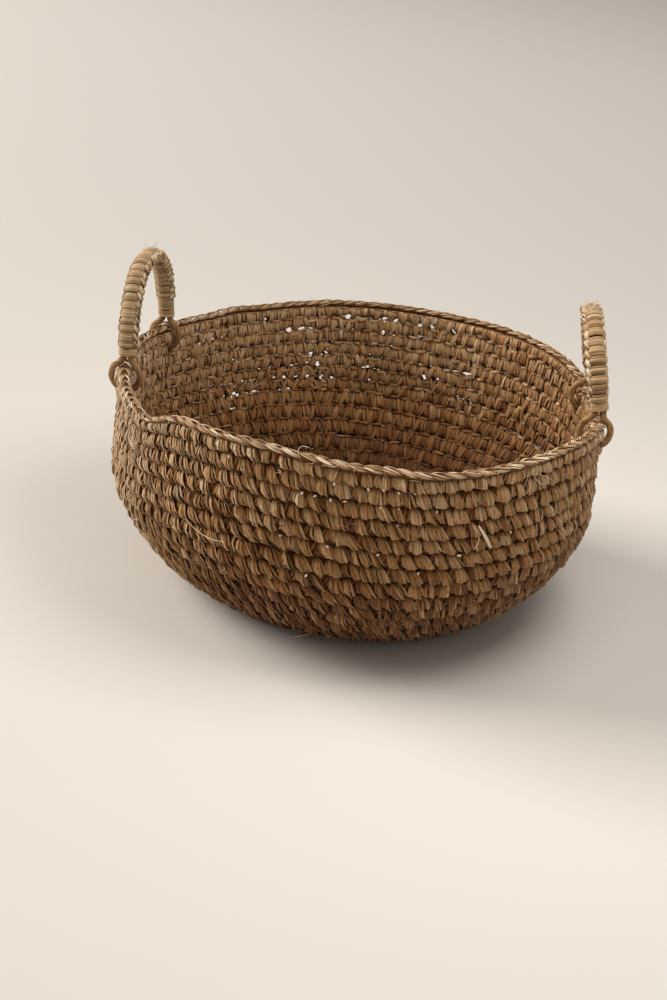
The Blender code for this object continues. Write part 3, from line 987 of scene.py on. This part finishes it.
        # Painted shade: the ring's outer half takes the deep colour, so the gaps between the fans look dark.
        height = np.where(np.sin(angle) < -0.1, 1.0, 0.0)
        points = FORM.on_wall(bearing, distance, deep)
        return closed_ring(points, tall, bearing * self.radius, 0.45 + self.painted_light[1], height)

    def build(self) -> None:
        """Make the round's object and put it in the place of its solid."""
        weave = Weave()
        weave.add(self.core(), self.rng)
        for face, kinds in ((Face.OUTSIDE, OUTER_FANS), (Face.INSIDE, INNER_FANS)):
            for fan in kinds:
                weave.add(self.fans(face, fan), self.rng)
        weave.add(self.bars(), self.rng)
        place(weave.make(f"{self.node}_stitches"), self.finish, "basket", self.node)


@dataclass(frozen=True)
class ChainShape:
    """A crocheted chain: each link is a loop of two legs that ends over the next link's start."""

    pitch: float  # Distance from link to link.
    reach: float  # Length of a leg as a multiple of the pitch.
    half_width: float  # Half the chain's breadth.
    rise: float  # Height of the chain's top over its middle.
    strands: int
    width: float
    thickness: float

    def local(self, count: int, rng: np.random.Generator) -> Strands:
        """Return the chain's strands in straight coordinates: along, across and up.

        With t from 0 to 1 along a leg, the place along is t times the leg's length. The leg
        starts on top of the chain and goes over its own side: the place across is the half
        width times the sine of an angle that grows from 12 to 116 degrees, 29 degrees less to
        29 more from the leg's first strand to its last, and the height is the rise times its
        cosine. Both are smaller at the leg's ends, which lie under its neighbours.

        Args:
            count: Count of links.
            rng: Source of the unevenness.

        Returns:
            The strands, their points in straight coordinates.
        """
        t = np.linspace(0.0, 1.0, 8)
        side = np.array([-1.0, 1.0])[:, None, None]
        layer = (np.arange(self.strands) / max(self.strands - 1, 1) - 0.5)[:, None]
        shape = (count, 2, self.strands, 1)
        start = np.arange(count)[:, None, None, None] + rng.normal(0.0, 0.07, (count, 1, 1, 1))
        x = self.pitch * (start + self.reach * (t - 0.2) + rng.normal(0.0, 0.05, shape))
        turn = np.radians(12.0 + 104.0 * t + 58.0 * layer + rng.normal(0.0, 12.0, shape))
        swell = (0.64 + 0.38 * np.sin(math.pi * t**0.8)) * (1.0 + rng.normal(0.0, 0.10, shape))
        path = grid(x, side * self.half_width * swell * np.sin(turn), self.rise * swell * np.cos(turn))
        hint = grid(0.0, side * np.cos(turn), -np.sin(turn))
        path, hint = (part.reshape(-1, len(t), 3) for part in (path, hint))
        total = len(path)
        width = self.width * rng.uniform(0.6, 1.3, (total, 1)) * (0.55 + 0.45 * np.sin(math.pi * t))
        roll = np.radians(rng.normal(0.0, 14.0, (total, 1)))
        tone = 0.55 + rng.normal(0.0, 0.28, total)
        # Painted shade: a leg's ends, which lie under its neighbours, take the deep colour.
        height = (1.3 * np.sin(math.pi * t)).clip(0.0, 1.0)[:, None]
        return sweep(path, hint, width, self.thickness, roll).toned(tone, height)


@dataclass
class RimChain:
    """The slip-stitched chain on top of the rim."""

    radius: float = 0.1750  # Radius of the chain's middle.
    height: float = 0.1536  # Height of its middle.
    seed: int = 7  # Seed of its unevenness.

    def build(self) -> None:
        """Make the chain, bent round the rim: along is the bearing, across is inward."""
        rng = np.random.default_rng(self.seed)
        count = round(2.0 * math.pi * self.radius / STITCH_PITCH)
        pitch = 2.0 * math.pi * self.radius / count
        sizes = {"half_width": 0.0034, "rise": 0.0018, "width": 0.0009, "thickness": 0.0005}
        chain = ChainShape(pitch=pitch, reach=1.30, strands=7, **sizes).local(count, rng)
        x, y, z = np.moveaxis(chain.points, -1, 0)
        bearing = x / self.radius
        at_feet = FORM.at_feet(bearing)
        height = self.height + 0.0008 * at_feet + z * (1.0 + 0.5 * at_feet)
        points = snug(FORM.uneven(self.radius - y * (1.0 + 0.9 * at_feet), bearing, height))
        # Painted shade: the chain is darker towards the back, where its shaded inner side is seen.
        tone = chain.tone - 0.16 * (1.0 + np.sin(bearing[:, 0, 0]))
        weave = Weave()
        weave.add(chain.moved(points).toned(tone, chain.height), rng)
        weave.add(self.core(), rng)
        place(weave.make("rim_chain"), EDGING_FINISH, "basket", "rim_edging")

    def core(self) -> Strands:
        """Return the closed ring inside the chain, an ellipse carried round the rim.

        Returns:
            The ring.
        """
        bearing = full_turn(240)[:, None]
        angle = full_turn(8)
        at_feet = FORM.at_feet(bearing)
        across = (0.0021 + 0.0022 * at_feet) * np.cos(angle)
        height = self.height - 0.0012 + 0.0008 * at_feet + (0.0018 + 0.0010 * at_feet) * np.sin(angle)
        points = snug(FORM.uneven(self.radius - across, bearing, height))
        # Painted shade: the ring, in the chain's shadow, is dark with the deep colour all over.
        return closed_ring(points, across, bearing * self.radius, 0.3, np.zeros(1))


@dataclass(frozen=True)
class LooseRaffia:
    """Loose fibres, a stray blade and pale strand ends on the outside of the wall and the rim."""

    # The ones that catch the eye, as (bearing, distance up the wall, three further control points as
    # (along, up, out) in millimetres, width in millimetres).
    strays: tuple[tuple[float, float, tuple[tuple[float, float, float], ...], float], ...] = (
        (-96.5, 0.2850, ((-4.0, 6.0, 0.0), (-3.0, 12.0, 1.0), (5.0, 11.0, 2.0)), 0.40),
        (-92.5, 0.2850, ((4.0, 3.0, 1.0), (8.0, 0.0, 2.0), (11.0, 5.0, 2.0)), 0.40),
        (-121.5, 0.2240, ((12.0, -5.0, 2.5), (25.0, -8.0, 2.5), (37.0, -5.0, 0.5)), 0.45),
        (-59.0, 0.2520, ((4.0, -6.0, 2.5), (8.0, -12.0, 2.5), (11.0, -17.0, 1.0)), 2.30),
        (-58.4, 0.2440, ((-1.0, -3.0, 2.0), (-2.0, -5.0, 2.0), (-3.0, -8.0, 1.0)), 1.00),
        (-93.0, 0.1300, ((-6.0, -2.0, 3.0), (-12.0, -3.0, 5.0), (-17.0, -6.0, 6.0)), 0.60),
        (-49.0, 0.2800, ((-2.0, -3.0, 2.5), (-5.0, -6.0, 3.0), (-4.0, -11.0, 1.5)), 0.35),
        (-47.5, 0.2790, ((2.0, -4.0, 2.5), (6.0, -8.0, 3.0), (10.0, -8.0, 1.5)), 0.40),
        (-48.5, 0.2790, ((1.0, -4.0, 2.5), (0.0, -8.0, 3.0), (-3.0, -13.0, 1.5)), 0.35),
        (-46.0, 0.2780, ((4.0, -1.0, 2.5), (9.0, -3.0, 3.0), (13.0, -8.0, 1.5)), 0.35),
    )
    hairs: int = 150  # Count of further fine fibres.
    seed: int = 31  # Seed of the further fibres.
    rim_distance: float = 0.2850  # Distance up the wall of the fibres at the rim.
    seat: float = 0.0040  # Depth out of the wall's middle where they all start.

    def build(self, edges: Array) -> None:
        """Make them all as one piece.

        Args:
            edges: Distances up the wall of the rounds' edges, where the palest ends stand.
        """
        rng = np.random.default_rng(self.seed)
        weave = Weave()
        feet, bends, width = ([stray[part] for stray in self.strays] for part in (slice(2), 2, 3))
        self.add(weave, rng, np.array(feet), np.array(bends), np.array(width), 0.9)

        ends = np.array([(bearing, edges[i]) for i, bearings in PALE_ENDS.items() for bearing in bearings])
        size = rng.uniform(0.6, 1.2, (len(ends), 1, 1))
        turn = rng.uniform(-1.6, 1.6, len(ends))
        steps = np.array([0.6, 1.3, 2.0])[:, None]
        line = grid(np.sin(turn), -np.cos(turn), 0.3)[:, None]
        self.add(weave, rng, ends, size * steps * line, 1.4 * size.ravel(), 1.0)

        at_rim = rng.random(self.hairs) < 0.4
        distance = np.where(at_rim, self.rim_distance, rng.uniform(0.14, 0.28, self.hairs))
        feet = grid(rng.uniform(-180.0, 180.0, self.hairs), distance)
        steps = rng.normal(0.0, 1.0, (self.hairs, 3, 3)) * (2.6, 1.5, 0.8) + (0.0, 0.0, 0.8)
        steps[..., 1] += np.where(at_rim, 1.0, -0.4)[:, None]
        bends, width = np.cumsum(steps, axis=1), rng.uniform(0.2, 0.4, self.hairs)
        clear = FORM.at_feet(np.radians(feet[:, 0])) < 0.01
        self.add(weave, rng, feet[clear], bends[clear], width[clear], 0.8)
        place(weave.make("loose_raffia"), BINDING_FINISH, "basket")

    def add(
        self, weave: Weave, rng: np.random.Generator, feet: Array, bends: Array, width: Array, tone: float
    ) -> None:
        """Add strands on Bezier curves that taper to both ends, none of them under the floor.

        Args:
            weave: Where they go.
            rng: Source of the pattern's offsets.
            feet: Bearings in degrees and distances up the wall where the curves start.
            bends: Their other control points in millimetres, along, up and out of the wall.
            width: Their widths in millimetres.
            tone: Tone of them all.
        """
        angle, distance = np.radians(feet[:, 0]), feet[:, 1]
        seat = np.array(self.seat)
        foot = FORM.on_wall(angle, distance, seat)
        along = unit(FORM.on_wall(angle + 0.01, distance, seat) - foot)
        up = unit(foot - FORM.on_wall(angle, distance - 0.004, seat))
        axes = np.stack([along, up, np.cross(along, up)], axis=1)
        bent = foot[:, None] + 0.001 * bends @ axes
        path = bezier(np.concatenate([foot[:, None], bent], axis=1), 9)
        path[..., 2] = np.maximum(path[..., 2], 0.0008)
        taper = 0.4 + 0.6 * np.sin(math.pi * np.linspace(0.1, 0.9, 9))
        hint = unit(np.cross(path[:, 1] - path[:, 0], path[:, 1] * (1.0, 1.0, 0.0)))[:, None]
        weave.add(fibres(path, hint, 0.001 * width[:, None] * taper, 0.0005, tone), rng)


@dataclass(frozen=True)
class WrapShape:
    """Sizes and looks of strands wrapped round an arch."""

    half: tuple[float, float]  # Half width and half depth of the oval that they run round.
    width: float
    thickness: float
    tone: float  # Middle tone of the strands.
    scatter: float  # Spread of their tones.
    tilt: float = 0.0  # Turn of the strands about their own length, in degrees.
    # The height sets the painted shade: lower heights take more of the deep colour.
    height: float = 1.0  # Their height in the weave.
    slope: float = 0.0012  # How far a strand moves along the arch in its turn.


@dataclass
class Handle:
    """One arched handle: a doubled cord with an eye at each foot, its crochet cover and bindings.

    The handle's own X runs along the hinge line, Y out of the basket and Z up the arch.
    """

    side: Side  # Which handle it is.
    lean: float  # Lean of the arch towards the basket, in degrees.
    # How far the arch stands outside the hinge line at its front and back leg.
    set_out: tuple[float, float]
    frays: int  # Count of loose fibres on top of the arch.
    band_pitch: float  # Distance from band to band of the cover.
    tone: float  # Middle tone of the cover.
    relief: float  # How deep the cover's bands stand out.
    squareness: float = 2.6  # Power of the arch's superellipse.
    arch_height: float = 0.0745  # Height of the arch over the hinge line.
    cord_radius: float = 0.0024
    twist_length: float = 0.030  # Length of the cord in which its plies turn once.
    strand_offset: float = 0.00265  # Distance of the cord's two strands from the arch's middle line.
    eye_turn: float = 46.0  # Angle over the level at which the eyes' rings end, in degrees.
    neck_height: float = 0.01497  # Height at which the strands have come together over the eyes.
    binding_length: float = 0.0055  # Length of a binding along the arch.
    gap: float = 0.0003  # Gap at both ends of a binding.
    wrap_half: tuple[float, float] = (0.0057, 0.0049)  # Half width and half depth of the cover.
    rng: np.random.Generator = field(init=False)  # Source of the unevenness.
    origin: Array = field(init=False)  # Point halfway between the eyes.
    axes: Array = field(init=False)  # The handle's own directions, one to a row.
    half_span: float = field(init=False)  # Half the distance between the eyes.
    front: float = field(init=False)  # Sign of the handle's X at its front foot.

    def __post_init__(self) -> None:
        """Read the hinge from the frame and work out the handle's own directions."""
        self.rng = np.random.default_rng(20 if self.side is Side.LEFT else 21)
        self.origin, axis = hinge(self.side)
        outward = unit(np.cross((0.0, 0.0, 1.0), -axis))
        lean = math.radians(self.lean)
        up = math.cos(lean) * np.cross(-axis, outward) - math.sin(lean) * outward
        self.axes = np.stack([-axis, np.cross(up, -axis), up])
        self.half_span = HALF_SPANS[self.side]
        self.front = math.copysign(1.0, axis[1])

    def to_world(self, local: Array) -> Array:
        """Return world points for points in the handle's own coordinates."""
        return self.origin + local @ self.axes

    def finished(self, weave: Weave, name: str, work: str, finish: RaffiaFinish) -> None:
        """Make a piece of the handle, named for its solid and its work, and put it in its place."""
        node = f"{self.side.value}_{name}"
        place(weave.make(f"{node}_{work}"), finish, f"{self.side.value}_handle", node)

    def offset(self, across: Array | float) -> Array | float:
        """Return how far the arch stands outside the hinge line, at places along it."""
        at_front, at_back = self.set_out
        return at_front + (at_back - at_front) * (0.5 - 0.5 * self.front * across / self.half_span)

    def arch(self, start: float, stations: int) -> Array:
        """Return evenly spaced points of the arch's middle line, from one foot to the other.

        The line is a superellipse: the place along is the half span times cos a to the power
        two over the squareness, and the height is the arch's height times sin a to that power.

        Args:
            start: Height at which both ends stand.
            stations: Count of points.

        Returns:
            The points in the handle's own coordinates.
        """
        turn = np.linspace(0.0, math.pi, 721)
        power = 2.0 / self.squareness
        across = -self.half_span * np.sign(np.cos(turn)) * np.abs(np.cos(turn)) ** power
        rise = self.arch_height * np.sin(turn).clip(0.0) ** power
        lengths = lengths_along(grid(across, rise))
        half = len(turn) // 2 + 1
        first = float(np.interp(start, rise[:half], lengths[:half]))
        x, z = look_up(np.linspace(first, lengths[-1] - first, stations), lengths, grid(across, rise)).T
        return grid(x, self.offset(x), z)

    def neck(self, offset: float) -> Array:
        """Return the (outward, up) line from a strand down to the eye, a Bezier curve.

        Args:
            offset: How far outward the strand stands.

        Returns:
            Seven points between the strand's end and the eye's ring.
        """
        pull, turn = 0.0030, math.radians(self.eye_turn)
        begin = np.array([offset, self.neck_height])
        end = EYE_RADIUS * np.array([math.cos(turn), math.sin(turn)])
        first = begin - np.array([0.0, pull])
        second = end + pull * np.array([-math.sin(turn), math.cos(turn)])
        return bezier(np.array([[begin, first, second, end]]), 9)[0, 1:-1]

    def cord_path(self) -> Array:
        """Return the closed path of the cord: outer strand, far eye, inner strand, near eye.

        Returns:
            The path's points in the handle's own coordinates.
        """
        arch = self.arch(self.neck_height, 110)
        turn = np.linspace(math.radians(self.eye_turn), -math.pi - math.radians(self.eye_turn), 41)
        eye = EYE_RADIUS * grid(np.cos(turn), np.sin(turn))
        lean_in = self.half_span - abs(float(arch[0, 0]))
        feet = []
        for end in (1.0, -1.0):
            shift = self.offset(end * self.half_span)
            outer = self.neck(self.strand_offset + shift)
            inner = self.neck(self.strand_offset - shift)
            out, up = np.concatenate([outer, eye, inner[::-1] * (-1.0, 1.0)]).T
            along = self.half_span - lean_in * np.clip(up / self.neck_height, 0.0, 1.0) ** 2
            feet.append(grid(end * along, out, up))
        apart = np.array([0.0, self.strand_offset, 0.0])
        return np.concatenate([arch + apart, feet[0], (arch - apart)[::-1], feet[1][::-1]])

    def cord(self) -> None:
        """Make the cord: a closed tube of three plies that twist round each other.

        The tube's radius is the cord's times 0.97 plus 0.05 cos of 3 (a less the twist), with
        the twist growing evenly along the path by a whole number of turns.
        """
        path = self.cord_path()
        tangent = unit(np.roll(path, -1, axis=0) - np.roll(path, 1, axis=0))
        share = smooth((self.neck_height + 0.002 - path[:, 2]) / 0.006)
        side, top = (part[:, None] for part in square_to(tangent, grid(share, 1.0 - share, 0.0)))
        lengths = lengths_along(np.concatenate([path, path[:1]]))[:, None]
        angle = full_turn(16)
        turns = round(float(lengths[-1, 0]) / self.twist_length)
        ply = angle - 2.0 * math.pi * turns * lengths[:-1] / lengths[-1]
        radius = self.cord_radius * (0.97 + 0.05 * np.cos(3.0 * ply))
        ring = np.cos(angle)[:, None] * side + np.sin(angle)[:, None] * top
        points = self.to_world(path[:, None] + radius[..., None] * ring)
        weave = Weave()
        weave.add(closed_ring(points, self.cord_radius * ply, lengths[:-1], 0.45, np.ones(1)), self.rng)
        self.finished(weave, "handle_cord", "twisted", CORD_FINISH)

    @staticmethod
    def carried(line: Array, along: Array) -> tuple[Array, Array]:
        """Return a line's points and directions at distances along it."""
        found = look_up(along, lengths_along(line), np.hstack([line, unit(np.gradient(line, axis=0))]))
        return found[..., :3], unit(found[..., 3:])

    def wraps(self, middles: Array, line: Array, shape: WrapShape) -> Strands:
        """Return strands wrapped once round the arch.

        A strand at the distance d along the arch runs round an oval: the half width times cos a
        outward and the half depth times sin a square to the arch, while d grows by the slope
        over the turn.

        Args:
            middles: Distances along the line of the wraps' middles.
            line: Points of the arch's middle line.
            shape: The wraps' sizes and looks.

        Returns:
            The strands, placed on the handle.
        """
        rng, each = self.rng, (len(middles), 1)
        turn = np.linspace(-math.pi, math.pi, 17)
        middle, ahead = self.carried(line, middles[:, None] + shape.slope * turn / (2.0 * math.pi))
        out = np.array([0.0, 1.0, 0.0])
        swell = 1.0 + rng.normal(0.0, 0.02, each)
        path = middle + (shape.half[0] * swell * np.cos(turn))[..., None] * out
        path = path + (shape.half[1] * swell * np.sin(turn))[..., None] * unit(np.cross(ahead, out))
        width = shape.width * rng.uniform(0.85, 1.15, each)
        roll = np.radians(shape.tilt + rng.normal(0.0, 7.0, each))
        flat = sweep(path, ahead, width, shape.thickness, roll)
        tone = shape.tone + rng.normal(0.0, shape.scatter, len(middles))
        return flat.moved(self.to_world(flat.points)).toned(tone, np.array([shape.height]))

    def edge_chain(self, line: Array, outward: float, shape: ChainShape, lift: float) -> Strands:
        """Return a chain along the arch's inner or outer edge.

        Args:
            line: Points of the arch's middle line.
            outward: 1 for the edge that faces out of the basket, -1 for the other.
            shape: The chain's sizes.
            lift: Distance of the chain's middle from the arch's.

        Returns:
            The strands, placed on the handle.
        """
        chain = shape.local(int(lengths_along(line)[-1] / shape.pitch) - 1, self.rng)
        middle, ahead = self.carried(line, chain.points[..., 0] + 0.4 * shape.pitch)
        out = np.array([0.0, outward, 0.0])
        square = unit(np.cross(out, ahead))
        points = middle + (lift + chain.points[..., 2:]) * out + chain.points[..., 1:2] * square
        return chain.moved(self.to_world(points))

    def cover(self) -> None:
        """Make the cover: bands of three wraps, a chunky chain inside and a fine chain outside."""
        rng = self.rng
        line = self.arch(self.neck_height + 2.0 * self.gap + self.binding_length, 90)
        length = float(np.linalg.norm(np.diff(line, axis=0), axis=1).sum())
        bands = round(length / self.band_pitch)
        pitch = length / bands
        weave = Weave()
        middles = (np.arange(bands) + 0.5) * pitch + rng.normal(0.0, 0.0002, bands)
        # Painted shade: the two side wraps lie lower than the middle one and get a lower height, so more of
        # the deep colour.
        for shift, lift, tilt in ((-0.27, 0.0, 12.0), (0.27, 0.0, -12.0), (0.0, 0.00035, 0.0)):
            lift = self.relief * lift
            shape = WrapShape(
                half=(self.wrap_half[0] + lift, self.wrap_half[1] + lift),
                width=0.45 * pitch,
                thickness=0.0011,
                tone=self.tone,
                scatter=0.14,
                tilt=self.relief * tilt,
                height=0.6 + 800.0 * lift,
            )
            weave.add(self.wraps(middles + shift * pitch, line, shape), rng)
        sizes = {"half_width": 0.0034, "rise": 0.0019, "width": 0.0018, "thickness": 0.0009}
        chunky = ChainShape(pitch=pitch, reach=1.15, strands=4, **sizes)
        sizes = {"half_width": 0.0020, "rise": 0.0013, "width": 0.0013, "thickness": 0.0008}
        fine = ChainShape(pitch=pitch, reach=1.15, strands=3, **sizes)
        weave.add(self.edge_chain(line, -1.0, chunky, 0.0054), rng)
        weave.add(self.edge_chain(line, 1.0, fine, 0.0056), rng)
        weave.add(self.fray(line), rng)
        self.finished(weave, "handle_cover", "crochet", COVER_FINISH)

    def fray(self, line: Array) -> Strands:
        """Return loose fibres that stand off the top of the arch, on Bezier curves.

        Args:
            line: Points of the arch's middle line.

        Returns:
            The strands, placed on the handle.
        """
        rng, n = self.rng, self.frays
        top = line[np.clip(len(line) // 2 + rng.normal(0.0, 5.0, n), 0, len(line) - 1).astype(int)]
        turn = rng.uniform(0.15 * math.pi, 0.95 * math.pi, n)
        away = grid(rng.normal(0.0, 0.3, n), np.cos(turn), np.sin(turn))
        root = (top + 0.0055 * away)[:, None]
        steps = rng.normal(0.0, 0.0009, (n, 3, 3)) + 0.0011 * away[:, None]
        path = bezier(np.concatenate([root, root + np.cumsum(steps, axis=1)], axis=1), 7)
        width = rng.uniform(0.0003, 0.0009, (n, 1)) * np.linspace(1.0, 0.4, 7)
        flat = fibres(path, np.array([1.0, 0.2, 0.1]), width, 0.0004, 0.95)
        return flat.moved(self.to_world(flat.points))

    def binding(self, name: str, end: float) -> None:
        """Make one binding: four fine wraps close together.

        Args:
            name: The binding's place, front or back.
            end: Sign of the handle's X at that foot.
        """
        line = self.arch(self.neck_height + self.gap, 200)
        middles = (np.arange(4) + 0.5) * self.binding_length / 4.0
        shape = WrapShape(half=(0.0058, 0.0036), width=0.0015, thickness=0.0012, tone=0.45, scatter=0.12)
        weave = Weave()
        weave.add(self.wraps(middles, line[::-1] if end > 0.0 else line, shape), self.rng)
        self.finished(weave, f"binding_{name}", "wraps", BINDING_FINISH)

    def build(self) -> None:
        """Make every piece of the handle."""
        self.cord()
        self.cover()
        self.binding("front", self.front)
        self.binding("back", -self.front)


@dataclass(frozen=True)
class Studio:
    """Floor, lamps and the camera at the photograph's place."""

    distance: float = 1.1228  # Distance from the camera to its target.
    elevation: float = 23.63  # The camera's height above the horizon, in degrees.
    azimuth: float = 4.35  # The camera's bearing round the basket, in degrees.
    roll: float = 7.77  # The camera's roll, in degrees.
    # The target's place along the camera's right, and its height.
    target: tuple[float, float] = (-0.0139, 0.0539)
    lens: float = 54.0  # Focal length in millimetres, on a 36 mm long side.
    floor_colour: tuple[int, int, int] = (217, 209, 197)  # Colour of the floor, as a screen shows it.
    floor_half: float = 30.0  # Half the floor's side, wide enough for the backdrop too.

    def camera(self) -> None:
        """Add the camera: back, right and up from its angles, right and up turned by the roll."""
        elevation, azimuth, roll = map(math.radians, (self.elevation, self.azimuth, self.roll))
        level = Vector((math.cos(azimuth), math.sin(azimuth), 0.0))
        flat = math.cos(elevation)
        back = Vector((math.sin(azimuth) * flat, -math.cos(azimuth) * flat, math.sin(elevation)))
        upright = back.cross(level)
        right = level * math.cos(roll) + upright * math.sin(roll)
        up = upright * math.cos(roll) - level * math.sin(roll)
        target = level * self.target[0] + Vector((0.0, 0.0, self.target[1]))
        data = bpy.data.cameras.new("photo_camera")
        data.lens = self.lens
        data.sensor_width = 36.0
        camera = linked("photo_camera", data)
        turn = Matrix((right, up, back)).transposed().to_4x4()
        camera.matrix_world = Matrix.Translation(target + back * self.distance) @ turn
        bpy.context.scene.camera = camera

    def floor(self) -> None:
        """Add the pale floor."""
        far = self.floor_half
        mesh = bpy.data.meshes.new("floor")
        corners = [(-far, -far, 0.0), (far, -far, 0.0), (far, far, 0.0), (-far, far, 0.0)]
        mesh.from_pydata(corners, [], [(0, 1, 2, 3)])
        paint = bpy.data.materials.new("floor_paint")
        paint.use_nodes = True
        look = {"Base Color": screen_colour(self.floor_colour), "Roughness": 0.9}
        fill(paint.node_tree, paint.node_tree.nodes["Principled BSDF"], look)
        mesh.materials.append(paint)
        floor = linked("floor", mesh)

    def lamp(self, name: str, place_at: tuple[float, float, float], size: float, power: float) -> None:
        """Add a square soft lamp that faces the basket.

        Args:
            name: Name of the lamp.
            place_at: Where it stands.
            size: Length of its sides.
            power: Its power in watts.
        """
        data = bpy.data.lights.new(name, "AREA")
        data.size = size
        data.energy = power
        lamp = linked(name, data)
        aim = Vector((0.0, 0.0, 0.08)) - Vector(place_at)
        lamp.matrix_world = Matrix.Translation(place_at) @ aim.to_track_quat("-Z", "Y").to_matrix().to_4x4()
        lamp.visible_camera = False

    def world(self) -> None:
        """Light the room evenly."""
        world = bpy.data.worlds.new("room")
        world.use_nodes = True
        look = {"Color": (1.0, 0.985, 0.96, 1.0), "Strength": 0.36}
        fill(world.node_tree, world.node_tree.nodes["Background"], look)
        bpy.context.scene.world = world

    def build(self) -> None:
        """Set up the whole studio."""
        self.floor()
        self.world()
        self.lamp("window", (-7.4, 0.8, 4.4), 5.2, 960.0)
        self.lamp("ceiling", (0.20, -0.12, 0.62), 0.35, 2.2)
        self.camera()
        bpy.context.scene.view_settings.view_transform = "Standard"


@dataclass(frozen=True)
class Basket:
    """The basket body: its crochet rounds, its rim chain and its loose raffia."""

    base_rounds: int = 10  # Count of the rounds of the base.
    wall_rounds: int = 14  # Count of the rounds of the wall under the top round.
    # How far the rounds' edges stand above even ones, as (round, share of a round).
    lifts: tuple[tuple[int, float], ...] = ((13, 0.0), (18, 0.5), (22, 0.22), (24, 0.12))

    def build(self) -> None:
        """Make every round from the base's centre to the rim."""
        count = self.base_rounds + self.wall_rounds
        full = FORM.length()
        lifted = np.array([i + by_round(i, *self.lifts) for i in range(count + 1)])
        edges = lifted / count * (full - FORM.top_round)
        names = ["base_centre"] + [f"base_round_{i:02d}" for i in range(2, self.base_rounds + 1)]
        names += [f"wall_round_{i:02d}" for i in range(1, self.wall_rounds + 1)]
        for i, name in enumerate(names):
            CrochetRound(
                node=name,
                start=float(edges[i]),
                end=float(edges[i + 1]),
                number=i,
                finish=BASE_FINISH if i < self.base_rounds else WALL_FINISH,
                flatten=by_round(i, (9, 0.76), (13, 1.0)),
                lean=by_round(i, (0, 0.3), (8, 0.9), (14, 1.2), (20, 1.3), (23, 0.8)),
                swell=0.45 if i == EYE_ROUND else 0.0,
                # Painted light and shade: lower rounds, and the bowl's lower inside, darker where less light
                # falls.
                painted_light=(
                    by_round(i, (8, -0.46), (15, -0.36), (19, -0.13), (24, 0.03)),
                    by_round(i, (13, -0.66), (20, -0.06), (24, 0.04)),
                ),
            ).build()
        CrochetRound(
            node="wall_top_round",
            start=float(edges[-1]),
            end=full + 0.0016,
            number=TOP_ROUND,
            finish=WALL_FINISH,
            lean=0.45,
            swell=0.7,
            # Painted light: the top round's outside a little paler.
            painted_light=(0.08, 0.0),
        ).build()
        RimChain().build()
        LooseRaffia().build(edges)


def main() -> None:
    """Build the basket, its handles and the studio."""
    logging.basicConfig(level=logging.INFO, format="%(name)s: %(message)s")
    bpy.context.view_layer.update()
    Basket().build()
    Handle(
        side=Side.LEFT,
        lean=-3.0,
        set_out=(-0.0010, -0.0010),
        frays=14,
        band_pitch=0.0054,
        tone=0.54,
        relief=0.5,
        squareness=2.3,
    ).build()
    Handle(
        side=Side.RIGHT,
        lean=13.5,
        set_out=(0.0040, 0.0065),
        frays=44,
        band_pitch=0.0063,
        tone=0.32,
        relief=0.9,
        arch_height=0.0730,
    ).build()
    Studio().build()


if __name__ == "__main__":
    main()
